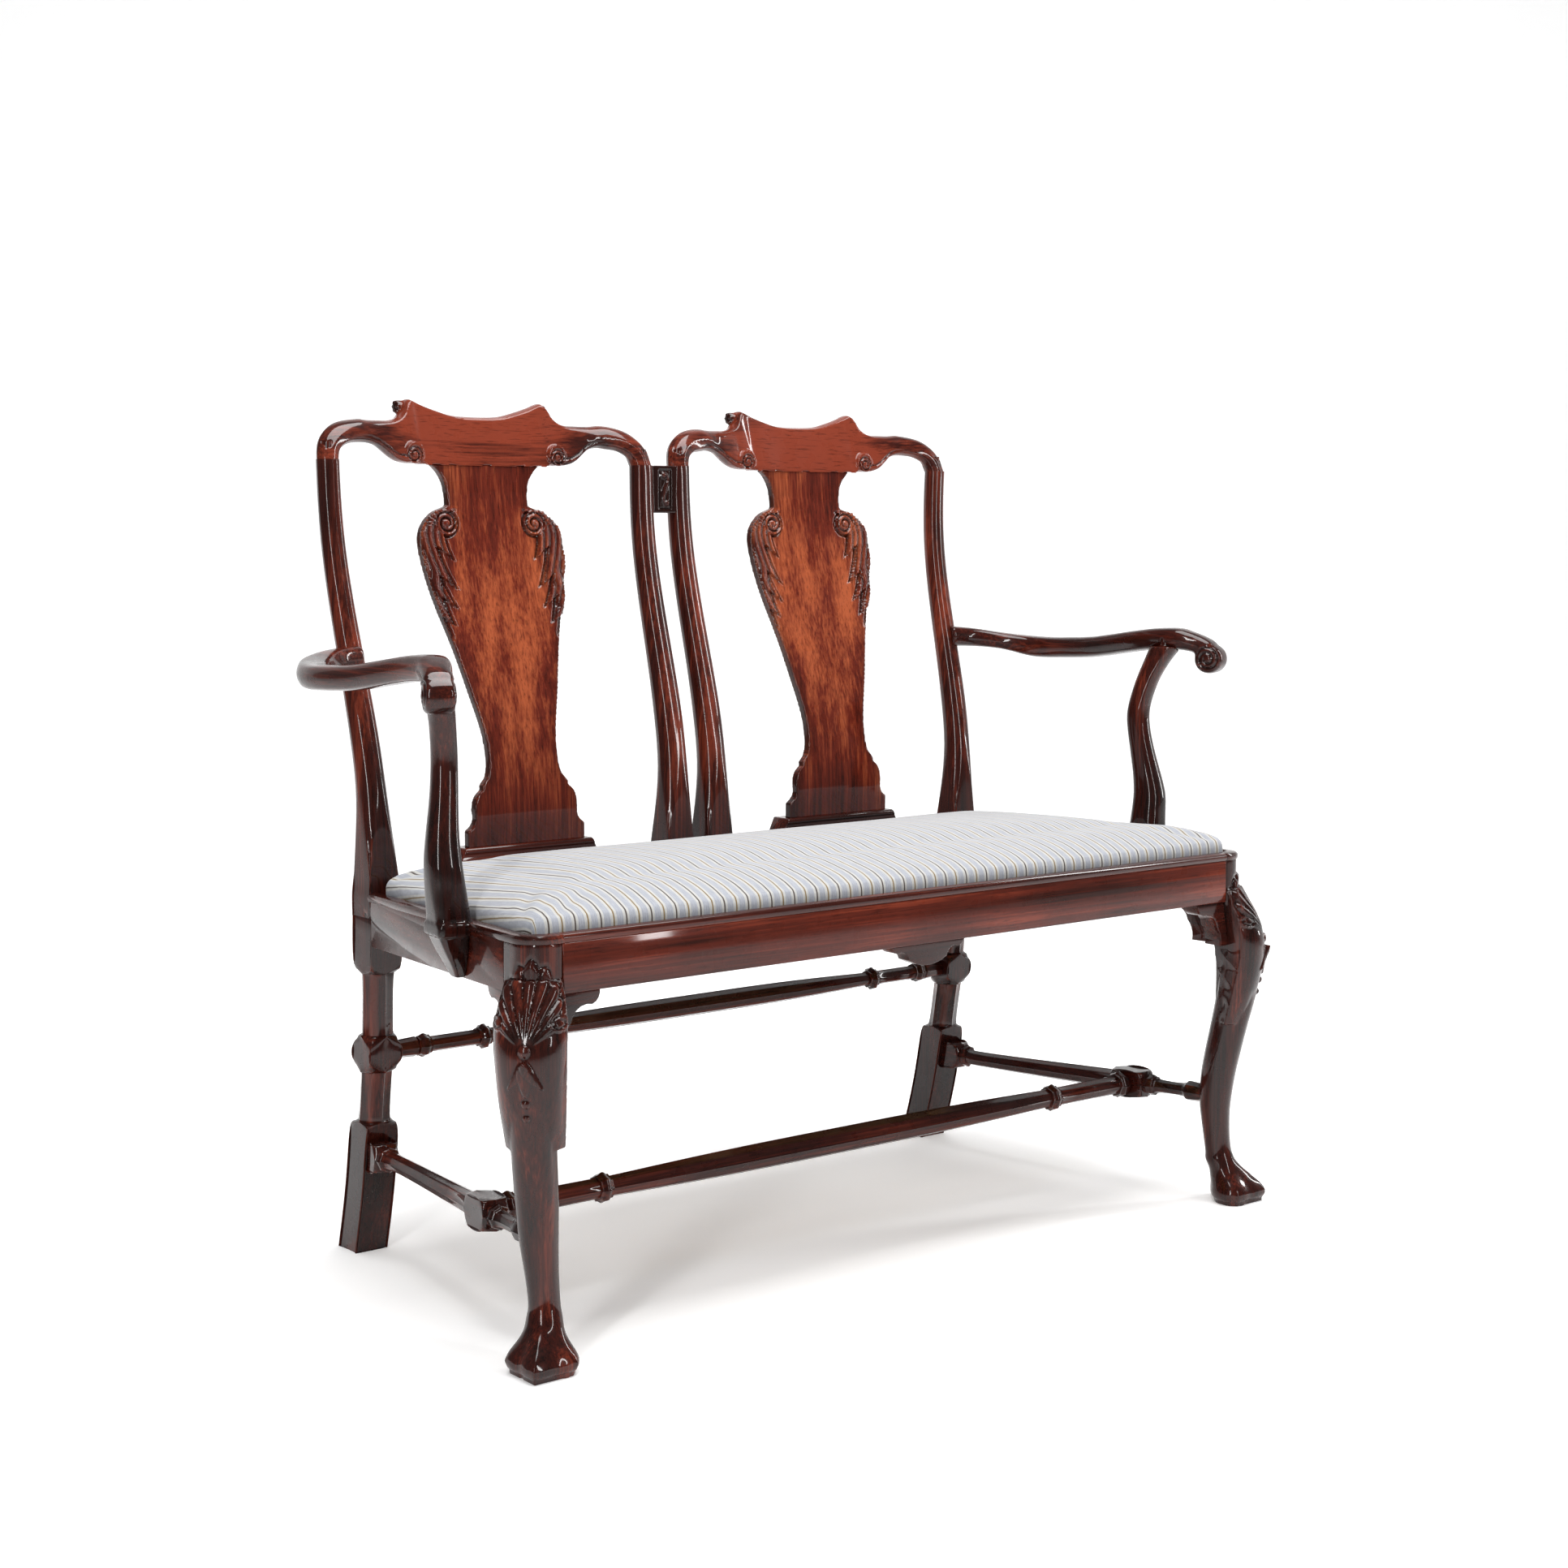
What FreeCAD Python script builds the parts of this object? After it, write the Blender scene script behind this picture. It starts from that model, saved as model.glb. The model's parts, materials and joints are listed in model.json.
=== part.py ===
import FreeCAD, Part
import math
import os

Vec = FreeCAD.Vector
UP = Vec(0, 0, 1)
ACROSS = Vec(1, 0, 0)
BACK = Vec(0, 1, 0)
ORIGIN = Vec(0, 0, 0)

# All sizes are in millimetres. X runs along the settee, Y to its back, Z up from the floor.

# Seat frame
front_y = -271.3            # front face of the front seat rail
seat_depth = 431.0          # front face of the front rail to the front of the rear legs
front_half = 534.0          # half the width over the side rails, at the front face
rear_half = 469.0           # half the width over the rear legs, at the seat
rail_top = 436.0            # top of the front rail
rail_height = 51.5
rail_thick = 32.0
seat_fall = 12.0            # how much lower the seat frame is at the rear legs
rear_rail_thick = 54.0
rear_rebate = 13.0          # ledge on the rear rail that carries the loose seat
rear_step = 8.0             # the rear rail stands this much above that ledge
tenon_thick = 10.0
tenon_long = 22.0
tenon_shoulder = 7.0        # the tenon is this much lower than the rail at each edge
lip_wide = 13.0             # moulded lip round the loose seat
lip_high = 9.5
lip_proud = 2.0
corner_radius = 30.0        # rounded front corners of the seat
post_wide = 42.5            # front leg post, along the front rail
post_deep = 58.0            # front leg post, along the side rail
brace_wide = 46.0
brace_high = 38.0
block_leg = 74.0            # corner glue blocks
block_high = 30.0

# Rear legs and back posts
leg_size = 40.0
foot_kick = 57.0            # the rear foot stands this far behind the leg at the seat
foot_in = 5.0               # and this far nearer to the middle
ankle_z = 162.0
ankle_kick = 20.0
block_z = 243.0             # middle of the square block that takes the rear stretcher
block_kick = 8.5
block_tall = 45.0
shoulder_z = 337.0          # the square part starts here
turned_radius = 18.2
stile_drop = 75.0           # the back posts end this far below the ears of the crest
stile_top_size = 26.0
stile_size = 38.0
back_rake = 66.0            # the back posts end this far behind their feet
rake_start = 510.0
rake_end = 880.0
outer_top_x = 466.5
inner_foot_x = 31.0         # inner back posts
inner_top_x = 28.5
inner_extra = 2.2           # the inner posts are this much stouter
inner_bow = 5.0             # and bow this far forward at half height
dowel_radius = 6.5
dowel_long = 20.0

# Chair backs: crest rail, splat, shoe and the block between the two backs
chair_x = 247.5             # middle of one chair back
crest_lean = 16.0           # degrees
crest_thick = 24.0
elbow_wide = 44.0           # the crest's elbow, along the settee
crest_bow = 24.0            # the crest is hollowed by this much between its ends
ear_z = 1000.0              # height of the settee, over the ears of the crest
hoop_drop = 41.0            # middle of the crest's arms, below the ears
shoulder_drop = 27.5
ear_x = 91.0
saddle_dip = 20.0
volute_x = 99.6
volute_drop = 64.5
volute_radius = 12.5
volute_proud = 3.0
joint_drop = 77.5           # joint of splat and crest, below the ears
splat_thick = 11.0
splat_rake = 76.0
splat_rake_start = 480.0
splat_rake_end = 930.0
splat_lean = 5.0            # the splat's foot stands this much nearer to the settee's middle
splat_hollow = 4.6          # the splat is hollowed by this much at a third of its height
splat_front = 2.0           # front of the splat's foot, behind the middle of the rear leg
joint_half = 76.0
neck_half = 56.5
shoulder_half = 99.0
waist_half = 48.3
plinth_half = 82.0
plinth_rise = 50.0          # foot of the splat above the seat frame at the rear
shoe_half = 97.0
shoe_deep = 28.0
shoe_groove = 9.0
link_tall = 59.0
link_deep = 24.0
link_round = 9.0

# Front legs
knee_z = 322.0
stop_z = 229.0              # the square edges of the knee stop here
ankle_radius = 16.5
ankle_front_z = 66.0
foot_reach = 27.0           # the foot stands this far out along the diagonal
foot_turn = 8.0             # and is turned this far to the front
foot_toe = 43.0             # the three-lobed foot, from its middle to the tip of the middle lobe
foot_lobe = 38.0            # to the tips of the side lobes
foot_hollow = 31.0          # to the hollows between the lobes
foot_heel = 26.0
foot_sides = 18
pad_inset = 4.0
pad_high = 6.5
bracket_long = 44.0
bracket_tall = 56.0
bracket_thick = 26.0
bracket_set_back = 3.0
drop_half = 54.0
drop_tall = 26.0
drop_thick = 20.0
drop_set_back = 4.0

# Arms
arm_half = 557.0            # half the distance between the middles of the arms
arm_z = 686.0               # lowest middle height of the arm
arm_rear_rise = 14.0
arm_front_rise = 19.0
arm_tall = 27.0
arm_wide = 37.0
arm_setback = 100.5         # middle of the scroll, behind the front rail's face
scroll_x = 570.0
scroll_z = 680.0
scroll_radius = 19.0
scroll_wide = 33.0
support_setback = 165.0     # arm support at the seat, behind the front rail's face
support_out = 15.0          # its middle stands this far outside the side rail
support_tenon = 8.0
screw_radius = 2.5
screw_head = 5.0
peg_radius = 3.0

# Stretchers
side_rear_z = 121.0
side_front_z = 133.0
side_shaft = 10.0
cross_setback = 153.0       # middle stretcher, behind the front rail's face
cross_swell = 15.0
cross_shaft = 11.5
cross_ring_x = 343.5
ring_radius = 16.5
ring_half = 5.5
ring_fillet = 2.5           # small step at both sides of a ring
rear_swell = 13.0
rear_shaft = 9.0
rear_ring_in = 305.0
rear_ring_out = 387.0
stretcher_tenon = 7.5

# Loose seat
seat_gap = 1.6              # room between the loose seat and the lip
cover_thick = 1.2
slip_wide = 58.0
slip_thick = 17.0
slip_rear_gap = 6.0         # loose seat to the front of the back posts
web_wide = 50.0
web_thick = 1.4
hessian_thick = 0.8
crown = 48.0                # height of the crown above the rail
hem = 26.0
tack_radius = 3.0
tack_high = 1.4
soft_gap = 0.3

# How finely rounded corners and turned curves are divided
corner_steps = 3
turning_steps = 3
curve_steps = 5
full_round = 0.48           # corner radius against width, for a section that is nearly a circle

# Worked out from the sizes above
rear_y = front_y + seat_depth
arm_front_y = front_y + arm_setback
support_y = front_y + support_setback
cross_y = front_y + cross_setback
leg_x = rear_half - leg_size / 2
leg_y = rear_y + leg_size / 2
splay = math.atan((front_half - rear_half) / seat_depth)
seat_angle = math.degrees(math.atan(seat_fall / seat_depth))
rail_bottom = rail_top - rail_height
rear_seat_top = rail_top - seat_fall
stile_top = ear_z - stile_drop
hoop_z = ear_z - hoop_drop
elbow_tall = hoop_z - stile_top
shoulder_top_z = ear_z - shoulder_drop
volute_z = ear_z - volute_drop
splat_joint_z = ear_z - joint_drop
plinth_z = rear_seat_top + plinth_rise
splat_tall = splat_joint_z - plinth_z
shoe_x = chair_x - splat_lean
diagonal = Vec(math.sqrt(0.5), -math.sqrt(0.5), 0)
sideways = Vec(math.sqrt(0.5), math.sqrt(0.5), 0)
leg_middle = Vec(front_half - 30.0, front_y + 29.0, 0)


# Small helpers

def box(x0, x1, y0, y1, z0, z1):
    return Part.makeBox(x1 - x0, y1 - y0, z1 - z0, Vec(x0, y0, z0))


def rounded_points(corners, radii):
    """Points round an outline, each corner that has a radius drawn in a few chords."""
    count = len(corners)
    points = []
    for i in range(count):
        corner = corners[i]
        if radii[i] <= 0:
            points.append(corner)
            continue
        before = (corners[i - 1] - corner).normalize()
        after = (corners[(i + 1) % count] - corner).normalize()
        half_angle = before.getAngle(after) / 2
        reach = radii[i] / math.tan(half_angle)
        to_middle = (before + after).normalize()
        middle = corner + to_middle * (radii[i] / math.sin(half_angle) - radii[i])
        points += curve(corner + before * reach, middle, corner + after * reach)
    return points


def curve(start, middle, end):
    """Points on the arc through three points, both ends with it."""
    return Part.Arc(start, middle, end).discretize(Number=curve_steps + 1)


def prism(corners, along):
    return Part.Face(Part.makePolygon(corners + corners[:1])).extrude(along)


def outline_points(centre, across, up, wide, tall, radius, steps=corner_steps):
    """Points round a rectangle with rounded corners, each corner in a few chords."""
    points = []
    for quarter in range(4):
        way = (1, -1, -1, 1)[quarter]
        rise = (1, 1, -1, -1)[quarter]
        middle = centre + across * (way * (wide / 2 - radius)) + up * (rise * (tall / 2 - radius))
        for i in range(steps + 1):
            angle = math.radians(90.0 * (quarter + i / steps))
            points.append(middle + across * (radius * math.cos(angle)) + up * (radius * math.sin(angle)))
    return points


def facet(a, b, c, d):
    """One flat four-sided face, or two triangles where the four points are not flat."""
    normal = (b - a).cross(c - a)
    if normal.Length > 1e-9 and abs((d - a).dot(normal)) / normal.Length < 1e-7:
        return [Part.Face(Part.makePolygon([a, b, c, d, a]))]
    return [Part.Face(Part.makePolygon([a, b, c, a])), Part.Face(Part.makePolygon([a, c, d, a]))]


def skin(outlines):
    """A solid with flat facets between outlines that have equal numbers of points."""
    faces = []
    for low, high in zip(outlines, outlines[1:]):
        for i in range(len(low)):
            faces += facet(low[i - 1], low[i], high[i], high[i - 1])
    for end in (outlines[0], outlines[-1]):
        faces.append(Part.Face(Part.makePolygon(end + end[:1])))
    shell = Part.makeShell(faces)
    shell.sewShape()
    solid = Part.Solid(shell)
    if solid.Volume < 0:
        solid.reverse()
    return solid


def between(stations, parts):
    """A smooth run of values through the stations, with a number of parts in each gap."""
    places = [0.0]
    for here, there in zip(stations, stations[1:]):
        step = math.sqrt(sum((b - a) ** 2 for a, b in zip(here[:3], there[:3])))
        places.append(places[-1] + step)
    last = len(stations) - 1

    def slope(i, k):
        before = max(i - 1, 0)
        after = min(i + 1, last)
        return (stations[after][k] - stations[before][k]) / (places[after] - places[before])

    run = []
    for i in range(last):
        gap = places[i + 1] - places[i]
        for part in range(parts):
            t = part / parts
            keep = 2 * t ** 3 - 3 * t ** 2 + 1
            leave = (t ** 3 - 2 * t ** 2 + t) * gap
            reach = (t ** 3 - t ** 2) * gap
            values = []
            for k in range(len(stations[i])):
                ends = keep * stations[i][k] + (1 - keep) * stations[i + 1][k]
                values.append(ends + leave * slope(i, k) + reach * slope(i + 1, k))
            run.append(values)
    run.append(list(stations[-1]))
    return run


def smooth_points(points, parts):
    """Points on a smooth curve, with a number of chords between each two given points."""
    run = between([tuple(point) for point in points], parts)
    return [Vec(*place) for place in run]


def rod(start, end, radius, sides=10):
    """A round pin, drawn with flat sides."""
    way = (end - start).normalize()
    across = way.cross(BACK if abs(way.y) < 0.7 else UP).normalize()
    up = way.cross(across)
    corners = []
    for i in range(sides):
        angle = 2 * math.pi * (i + 0.5) / sides
        corners.append(start + across * (radius * math.cos(angle)) + up * (radius * math.sin(angle)))
    return prism(corners, end - start)


def barrel(middle, along, stations, sides=14):
    """A round piece about an axis. A station is a place on the axis and a radius."""
    across = along.cross(UP).normalize()
    up = across.cross(along)
    outlines = []
    for place, radius in stations:
        points = []
        for i in range(sides):
            angle = 2 * math.pi * i / sides
            spoke = across * math.cos(angle) + up * math.sin(angle)
            points.append(middle + along * place + spoke * radius)
        outlines.append(points)
    return skin(outlines)


def other_side(shape):
    return shape.mirror(ORIGIN, ACROSS)


def ease(t):
    """The S-bend of the back: 0 below, 1 above, smooth at both ends."""
    t = min(max(t, 0.0), 1.0)
    return 3 * t * t - 2 * t * t * t


def tilt(shape):
    """Lets a piece of the flat seat frame fall to the rear."""
    return shape.rotated(Vec(0, front_y, rail_top), ACROSS, -seat_angle)


def spindle(start, end, stations):
    """A long piece between two points. A station is a distance, width, height and roundness."""
    way = (end - start).normalize()
    across = UP.cross(way).normalize()
    up = way.cross(across)
    outlines = []
    for along, wide, tall, roundness in stations:
        radius = min(wide, tall) * roundness
        outlines.append(outline_points(start + way * along, across, up, wide, tall, radius, 2))
    return skin(outlines)


def turned(steps):
    """Stations of a turned piece. A step is a place and radius, or a curve by its middle and end."""
    points = []
    for step in steps:
        end = Vec(step[-2], 0, step[-1])
        if points and points[-1].isEqual(end, 1e-6):
            continue
        if len(step) == 2:
            points.append(end)
            continue
        curve = Part.Arc(points[-1], Vec(step[0], 0, step[1]), end)
        points += curve.discretize(Number=turning_steps + 1)[1:]
    return [(point.x, 2 * point.z, 2 * point.z, full_round) for point in points]


def side_x(y, inset=0.0):
    """Outer face of the right side rail at depth y, moved inwards by inset."""
    return front_half - (y - front_y) * math.tan(splay) - inset / math.cos(splay)


def back_y(z):
    return leg_y + back_rake * ease((z - rake_start) / (rake_end - rake_start))


def splat_y(z):
    share = (z - splat_rake_start) / (splat_rake_end - splat_rake_start)
    height = min(max((z - plinth_z) / splat_tall, 0.0), 1.0)
    hollow = 6.75 * splat_hollow * height * (1 - height) ** 2
    return leg_y + splat_front + splat_rake * ease(share) - hollow


# Seat rails

def side_strip(inset_out, inset_in, y0, y1, z0, z1):
    """A straight strip along the right side rail, between two insets from its outer face."""
    corners = [
        Vec(side_x(y0, inset_in), y0, z0),
        Vec(side_x(y0, inset_out), y0, z0),
        Vec(side_x(y1, inset_out), y1, z0),
        Vec(side_x(y1, inset_in), y1, z0),
    ]
    return prism(corners, UP * (z1 - z0))


def front_rail():
    half = front_half - post_wide
    rail = box(-half, half, front_y, front_y + rail_thick, rail_bottom, rail_top)
    return tilt(rail)


def front_rail_tenons():
    half = front_half - post_wide
    y0 = front_y + (rail_thick - tenon_thick) / 2 - 4.0
    tenon = box(half, half + tenon_long, y0, y0 + tenon_thick,
                rail_bottom + tenon_shoulder, rail_top - tenon_shoulder)
    return [tilt(tenon), tilt(other_side(tenon))]


def side_rail_blank():
    over = tenon_shoulder
    return tilt(side_strip(0, rail_thick, front_y + post_deep - over, rear_y + over, rail_bottom, rail_top))


def side_rail_tenons():
    inset = (rail_thick - tenon_thick) / 2
    low = rail_bottom + tenon_shoulder
    high = rail_top - tenon_shoulder
    front_end = front_y + post_deep
    front = side_strip(inset, inset + tenon_thick, front_end - tenon_long, front_end + 2, low, high)
    rear = side_strip(inset, inset + tenon_thick, rear_y - 2, rear_y + tenon_long, low, high)
    return tilt(front), tilt(rear)


def rear_rail_blank():
    """Rebated rail: the ledge in front carries the loose seat, the step carries the back."""
    front = rear_y - slip_rear_gap - rear_rebate
    back = front + rear_rail_thick
    corners = [
        Vec(-leg_x, front, rail_bottom + seat_fall * 0.5),
        Vec(-leg_x, back, rail_bottom + seat_fall * 0.5),
        Vec(-leg_x, back, rail_top + rear_step),
        Vec(-leg_x, front + rear_rebate + 1.0, rail_top + rear_step),
        Vec(-leg_x, front + rear_rebate + 1.0, rail_top),
        Vec(-leg_x, front, rail_top),
    ]
    return tilt(prism(corners, ACROSS * (2 * leg_x)))


def rear_rail_tenon():
    inner = leg_x - leg_size / 2
    y0 = leg_y - tenon_thick / 2
    low = rail_bottom + seat_fall
    return tilt(box(inner - 2, inner + tenon_long * 0.5, y0, y0 + tenon_thick, low, rail_top - tenon_shoulder))


def lip_points(place, inward):
    """Thumb moulding at a place on the outer edge of the seat, with the way towards the seat."""
    profile = [
        (lip_wide, 0.0), (-lip_proud * 0.5, 0.0), (-lip_proud, lip_high * 0.3), (-lip_proud, lip_high * 0.6),
        (0.0, lip_high * 0.88), (lip_high * 0.4, lip_high), (lip_wide - 2.0, lip_high), (lip_wide, lip_high - 2.0),
    ]
    return [place + inward * across + UP * (rail_top + rise) for across, rise in profile]


def front_corner():
    """Tangent points and middle of the rounded front corner, in plan."""
    corner = Vec(front_half, front_y, 0)
    along = Vec(-math.sin(splay), math.cos(splay), 0)
    half_angle = (ACROSS * -1).getAngle(along) / 2
    reach = corner_radius / math.tan(half_angle)
    to_middle = (ACROSS * -1 + along).normalize()
    middle = corner + to_middle * (corner_radius / math.sin(half_angle) - corner_radius)
    return corner - ACROSS * reach, middle, corner + along * reach


def front_lip():
    half = front_half - post_wide
    return tilt(prism(lip_points(Vec(-half, front_y, 0), BACK), ACROSS * (2 * half)))


def side_lip_blank():
    """Lip that turns the rounded corner and runs back to the rear leg."""
    first, middle, last = front_corner()
    centre = first + BACK * corner_radius
    turn = math.pi / 2 + splay
    outlines = [lip_points(Vec(front_half - post_wide, front_y, 0), BACK), lip_points(first, BACK)]
    for i in range(1, 6):
        angle = turn * i / 5
        inward = Vec(-math.sin(angle), math.cos(angle), 0)
        outlines.append(lip_points(centre - inward * corner_radius, inward))
    end = Vec(side_x(rear_y + 3), rear_y + 3, 0)
    outlines.append(lip_points(end, inward))
    return tilt(skin(outlines))


def seat_brace():
    front = front_y + rail_thick
    back = rear_y - slip_rear_gap - rear_rebate
    return tilt(box(-brace_wide / 2, brace_wide / 2, front, back, rail_top - brace_high, rail_top))


def corner_block_blanks():
    """Triangular glue blocks for the right front and right rear corners."""
    top = rail_top - tenon_shoulder
    front_inner = front_y + rail_thick
    rear_inner = rear_y - slip_rear_gap - rear_rebate
    front_x = front_half - post_wide
    front = [
        Vec(front_x - block_leg + rail_thick, front_inner, top),
        Vec(front_x + 20, front_inner, top),
        Vec(side_x(front_y + post_deep + block_leg * 0.6, rail_thick), front_y + post_deep + block_leg * 0.6, top),
    ]
    rear_reach = side_x(rear_inner - block_leg, rail_thick)
    rear = [
        Vec(leg_x - block_leg, rear_inner, top),
        Vec(rear_reach, rear_inner - block_leg, top),
        Vec(side_x(rear_inner, rail_thick), rear_inner, top),
    ]
    return [tilt(prism(corners, UP * -block_high)) for corners in (front, rear)]


# Rear legs and back posts


def stile(foot_x, top_x, start_z, extra=0.0, bow=0.0):
    """Back post: square at the seat, rounded and tapering above it, with the S-bend."""
    outlines = []
    heights = [start_z, rail_top - 8, rail_top + 10]
    steps = 9
    for i in range(1, steps + 1):
        heights.append(rail_top + 10 + (stile_top - rail_top - 10) * i / steps)
    for z in heights:
        share = max(0.0, (z - rail_top) / (stile_top - rail_top))
        size = extra + stile_top_size + (stile_size - stile_top_size) * (1 - share) ** 1.6
        if z < rail_top:
            size = leg_size
        place = Vec(foot_x + (top_x - foot_x) * share, back_y(z) - bow * math.sin(math.pi * share), z)
        roundness = 0.05 + (full_round - 0.06) * ease((z - rail_top) / 120.0)
        outlines.append(outline_points(place, ACROSS, BACK, size, size, size * roundness))
    top = Vec(top_x, back_y(stile_top), stile_top)
    return skin(outlines), rod(top - UP * 2, top + UP * dowel_long, dowel_radius)


def rear_leg():
    """Right rear leg: raked square foot, turned lengths, square blocks, and the outer back post."""
    foot = (leg_x - foot_in, leg_y + foot_kick, 0.0)
    ankle = (leg_x - foot_in * 0.5, leg_y + ankle_kick, ankle_z)
    block = (leg_x - foot_in * 0.3, leg_y + block_kick, block_z)
    seat = (leg_x, leg_y, rail_bottom - seat_fall)
    hollow = tuple((a + b) / 2 for a, b in zip(foot, ankle))
    centre = between([foot, (hollow[0], hollow[1] - 4.0, hollow[2]), ankle, block, seat], 8)
    square = 0.05
    turned_size = 2 * turned_radius
    half = block_tall / 2
    shapes = [
        (0.0, leg_size, square), (50.0, leg_size, square), (100.0, leg_size, square),
        (ankle_z - 10, leg_size, square), (ankle_z - 4, leg_size, 0.28), (ankle_z, leg_size - 1, full_round),
        (ankle_z + 3, turned_size, full_round), (block_z - half, turned_size, full_round),
    ]
    for rise in (-0.94, -0.7, -0.35, 0.35, 0.7, 0.94):
        cut = max(0.0, abs(rise) - 0.35) / 0.59
        shapes.append((block_z + rise * half, leg_size + 1, square + (full_round - square) * cut))
    shapes += [
        (block_z + half, turned_size, full_round), (shoulder_z - 3, turned_size, full_round),
        (shoulder_z, leg_size - 1, full_round), (shoulder_z + 5, leg_size, 0.28), (shoulder_z + 14, leg_size, square),
        (rear_seat_top - 20, leg_size, square),
    ]
    outlines = []
    for z, size, roundness in shapes:
        place = at_height(centre, z)
        outlines.append(outline_points(place, ACROSS, BACK, size, size, size * roundness, 2))
    post, dowel = stile(leg_x, outer_top_x, rear_seat_top - 20)
    return skin(outlines).fuse(post).removeSplitter(), dowel


def at_height(run, z):
    """The place at a height on a rising run of places."""
    for low, high in zip(run, run[1:]):
        if z <= high[2]:
            break
    share = (z - low[2]) / (high[2] - low[2])
    return Vec(low[0] + (high[0] - low[0]) * share, low[1] + (high[1] - low[1]) * share, z)


# Crest rails, splats and shoes, drawn for the right-hand chair back

def crest_y(x, z):
    """Middle of the crest: hollowed in plan and leaning back."""
    span = outer_top_x - chair_x
    share = 1 - ((x - chair_x) / span) ** 2
    return back_y(stile_top) + crest_bow * share + (z - stile_top) * math.tan(math.radians(crest_lean))


def crest_half(way):
    """Outlines across one half of the crest, from the back post round the elbow to the chair's middle."""
    span = outer_top_x - chair_x if way > 0 else chair_x - inner_top_x
    size = stile_top_size if way > 0 else stile_top_size + inner_extra
    lean = math.tan(math.radians(crest_lean))
    stations = []
    for i in range(5):
        turn = math.radians(22.5 * i)
        x = span - elbow_wide * (1 - math.cos(turn))
        stations.append((x, stile_top + elbow_tall * math.sin(turn), turn, size, size, 0.46 - 0.01 * i))
    under = hoop_z - stile_top_size / 2
    low = volute_z - volute_radius
    tip = ear_z - 1.0
    top = shoulder_top_z
    thick = crest_thick
    flat = [
        (165.0, under + 0.3, top + 0.4, size, 0.42), (156.0, under - 0.6, top - 0.4, size - 1, 0.42),
        (146.0, under - 3.6, top - 0.6, thick, 0.4), (137.0, under - 10.0, top - 0.4, thick, 0.38),
        (129.0, low + 7.0, top - 0.3, thick, 0.36), (ear_x + 30.0, low + 2.6, top + 0.5, thick, 0.34),
        (ear_x + 21.0, low + 0.6, top + 3.0, thick, 0.32), (ear_x + 14.5, low, top + 7.5, thick, 0.3),
        (ear_x + 9.5, low, tip - 12.0, thick, 0.3), (ear_x + 5.5, low, tip - 4.0, thick, 0.3),
        (ear_x + 1.0, low + 0.4, tip, thick, 0.3),
    ]
    for share in (0.92, 0.77, 0.52, 0.26):
        dip = saddle_dip * (1 - share ** 2)
        flat.append((ear_x * share, splat_joint_z - 6.0, tip - dip, thick, 0.34))
    for x, bottom, high, deep, roundness in flat:
        stations.append((x, (bottom + high) / 2, math.pi / 2, high - bottom, deep, roundness))
    outlines = []
    for x, z, turn, tall, deep, roundness in stations:
        place = Vec(chair_x + way * x, crest_y(chair_x + way * x, z), z)
        outward = Vec(way * math.cos(turn), math.sin(turn) * lean, math.sin(turn))
        outlines.append(outline_points(place, outward, BACK, tall, deep, deep * roundness, 2))
    return outlines


def crest():
    """Crest in one piece: arms, shoulders, ears, saddle and volutes."""
    body = skin(crest_half(1) + list(reversed(crest_half(-1))))
    reach = ear_x + 2
    trim = box(chair_x - reach, chair_x + reach, leg_y, leg_y + 300.0, splat_joint_z - 60, splat_joint_z)
    body = body.cut(trim)
    pieces = []
    for way in (1, -1):
        x = chair_x + way * volute_x
        front = Vec(x, crest_y(x, volute_z) - crest_thick / 2, volute_z)
        pieces.append(rod(front - BACK * volute_proud, front + BACK * (crest_thick * 0.6), volute_radius, 12))
        ear = chair_x + way * ear_x
        back = Vec(ear, crest_y(ear, ear_z - 8) + crest_thick * 0.3, ear_z - 10)
        pieces.append(rod(back - ACROSS * (way * 4), back + ACROSS * (way * 9), 8.0, 8))
    return body.fuse(pieces).removeSplitter()


def splat_half():
    """Right side of the splat's outline, from the crest joint down to the foot, by shares of its height."""
    step = 12.0
    ledge = plinth_half - step
    flare = joint_half - neck_half
    high = [(joint_half, 1.0), (neck_half + flare * 0.55, 0.983), (neck_half + flare * 0.18, 0.958),
            (neck_half, 0.924), (neck_half, 0.89)]
    vase = [
        (neck_half, 0.89), (shoulder_half - 21, 0.87), (shoulder_half - 5, 0.832), (shoulder_half, 0.785),
        (shoulder_half - 8, 0.66), (shoulder_half - 26, 0.515), (waist_half + 12, 0.392), (waist_half + 2, 0.292),
        (waist_half, 0.225), (waist_half + 3, 0.181), (waist_half + step, 0.154),
    ]
    base = [
        (waist_half + step, 0.143), (ledge - 4, 0.133), (ledge, 0.118), (ledge + 2, 0.098), (ledge + 2, 0.067),
        (ledge + 4, 0.0535), (plinth_half - 3, 0.0425), (plinth_half, 0.038),
        (plinth_half, -shoe_groove / splat_tall),
    ]

    def place(half, share):
        return Vec(half, 0, plinth_z + splat_tall * share)

    points = smooth_points([place(*pair) for pair in high], 2)
    points += smooth_points([place(*pair) for pair in vase], 3)[1:]
    return points + [place(*pair) for pair in base]


def splat_board():
    """Board with the splat's own S-bend, wider than the splat."""
    wide = 2 * shoulder_half + 40
    low = plinth_z - 30
    high = splat_joint_z + 30
    parts = 16
    front = []
    for i in range(parts + 1):
        z = low + (high - low) * i / parts
        front.append(Vec(chair_x - wide / 2, splat_y(z), z))
    back = [point + BACK * splat_thick for point in reversed(front)]
    return prism(front + back, ACROSS * wide)


def splat():
    right = splat_half()
    left = [Vec(-point.x, 0, point.z) for point in reversed(right)]
    outline = []
    for point in right + left:
        lean = splat_lean * (splat_joint_z - point.z) / splat_tall
        outline.append(point + ACROSS * (chair_x - lean))
    return splat_board().common(prism(outline, BACK * 600.0))


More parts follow.
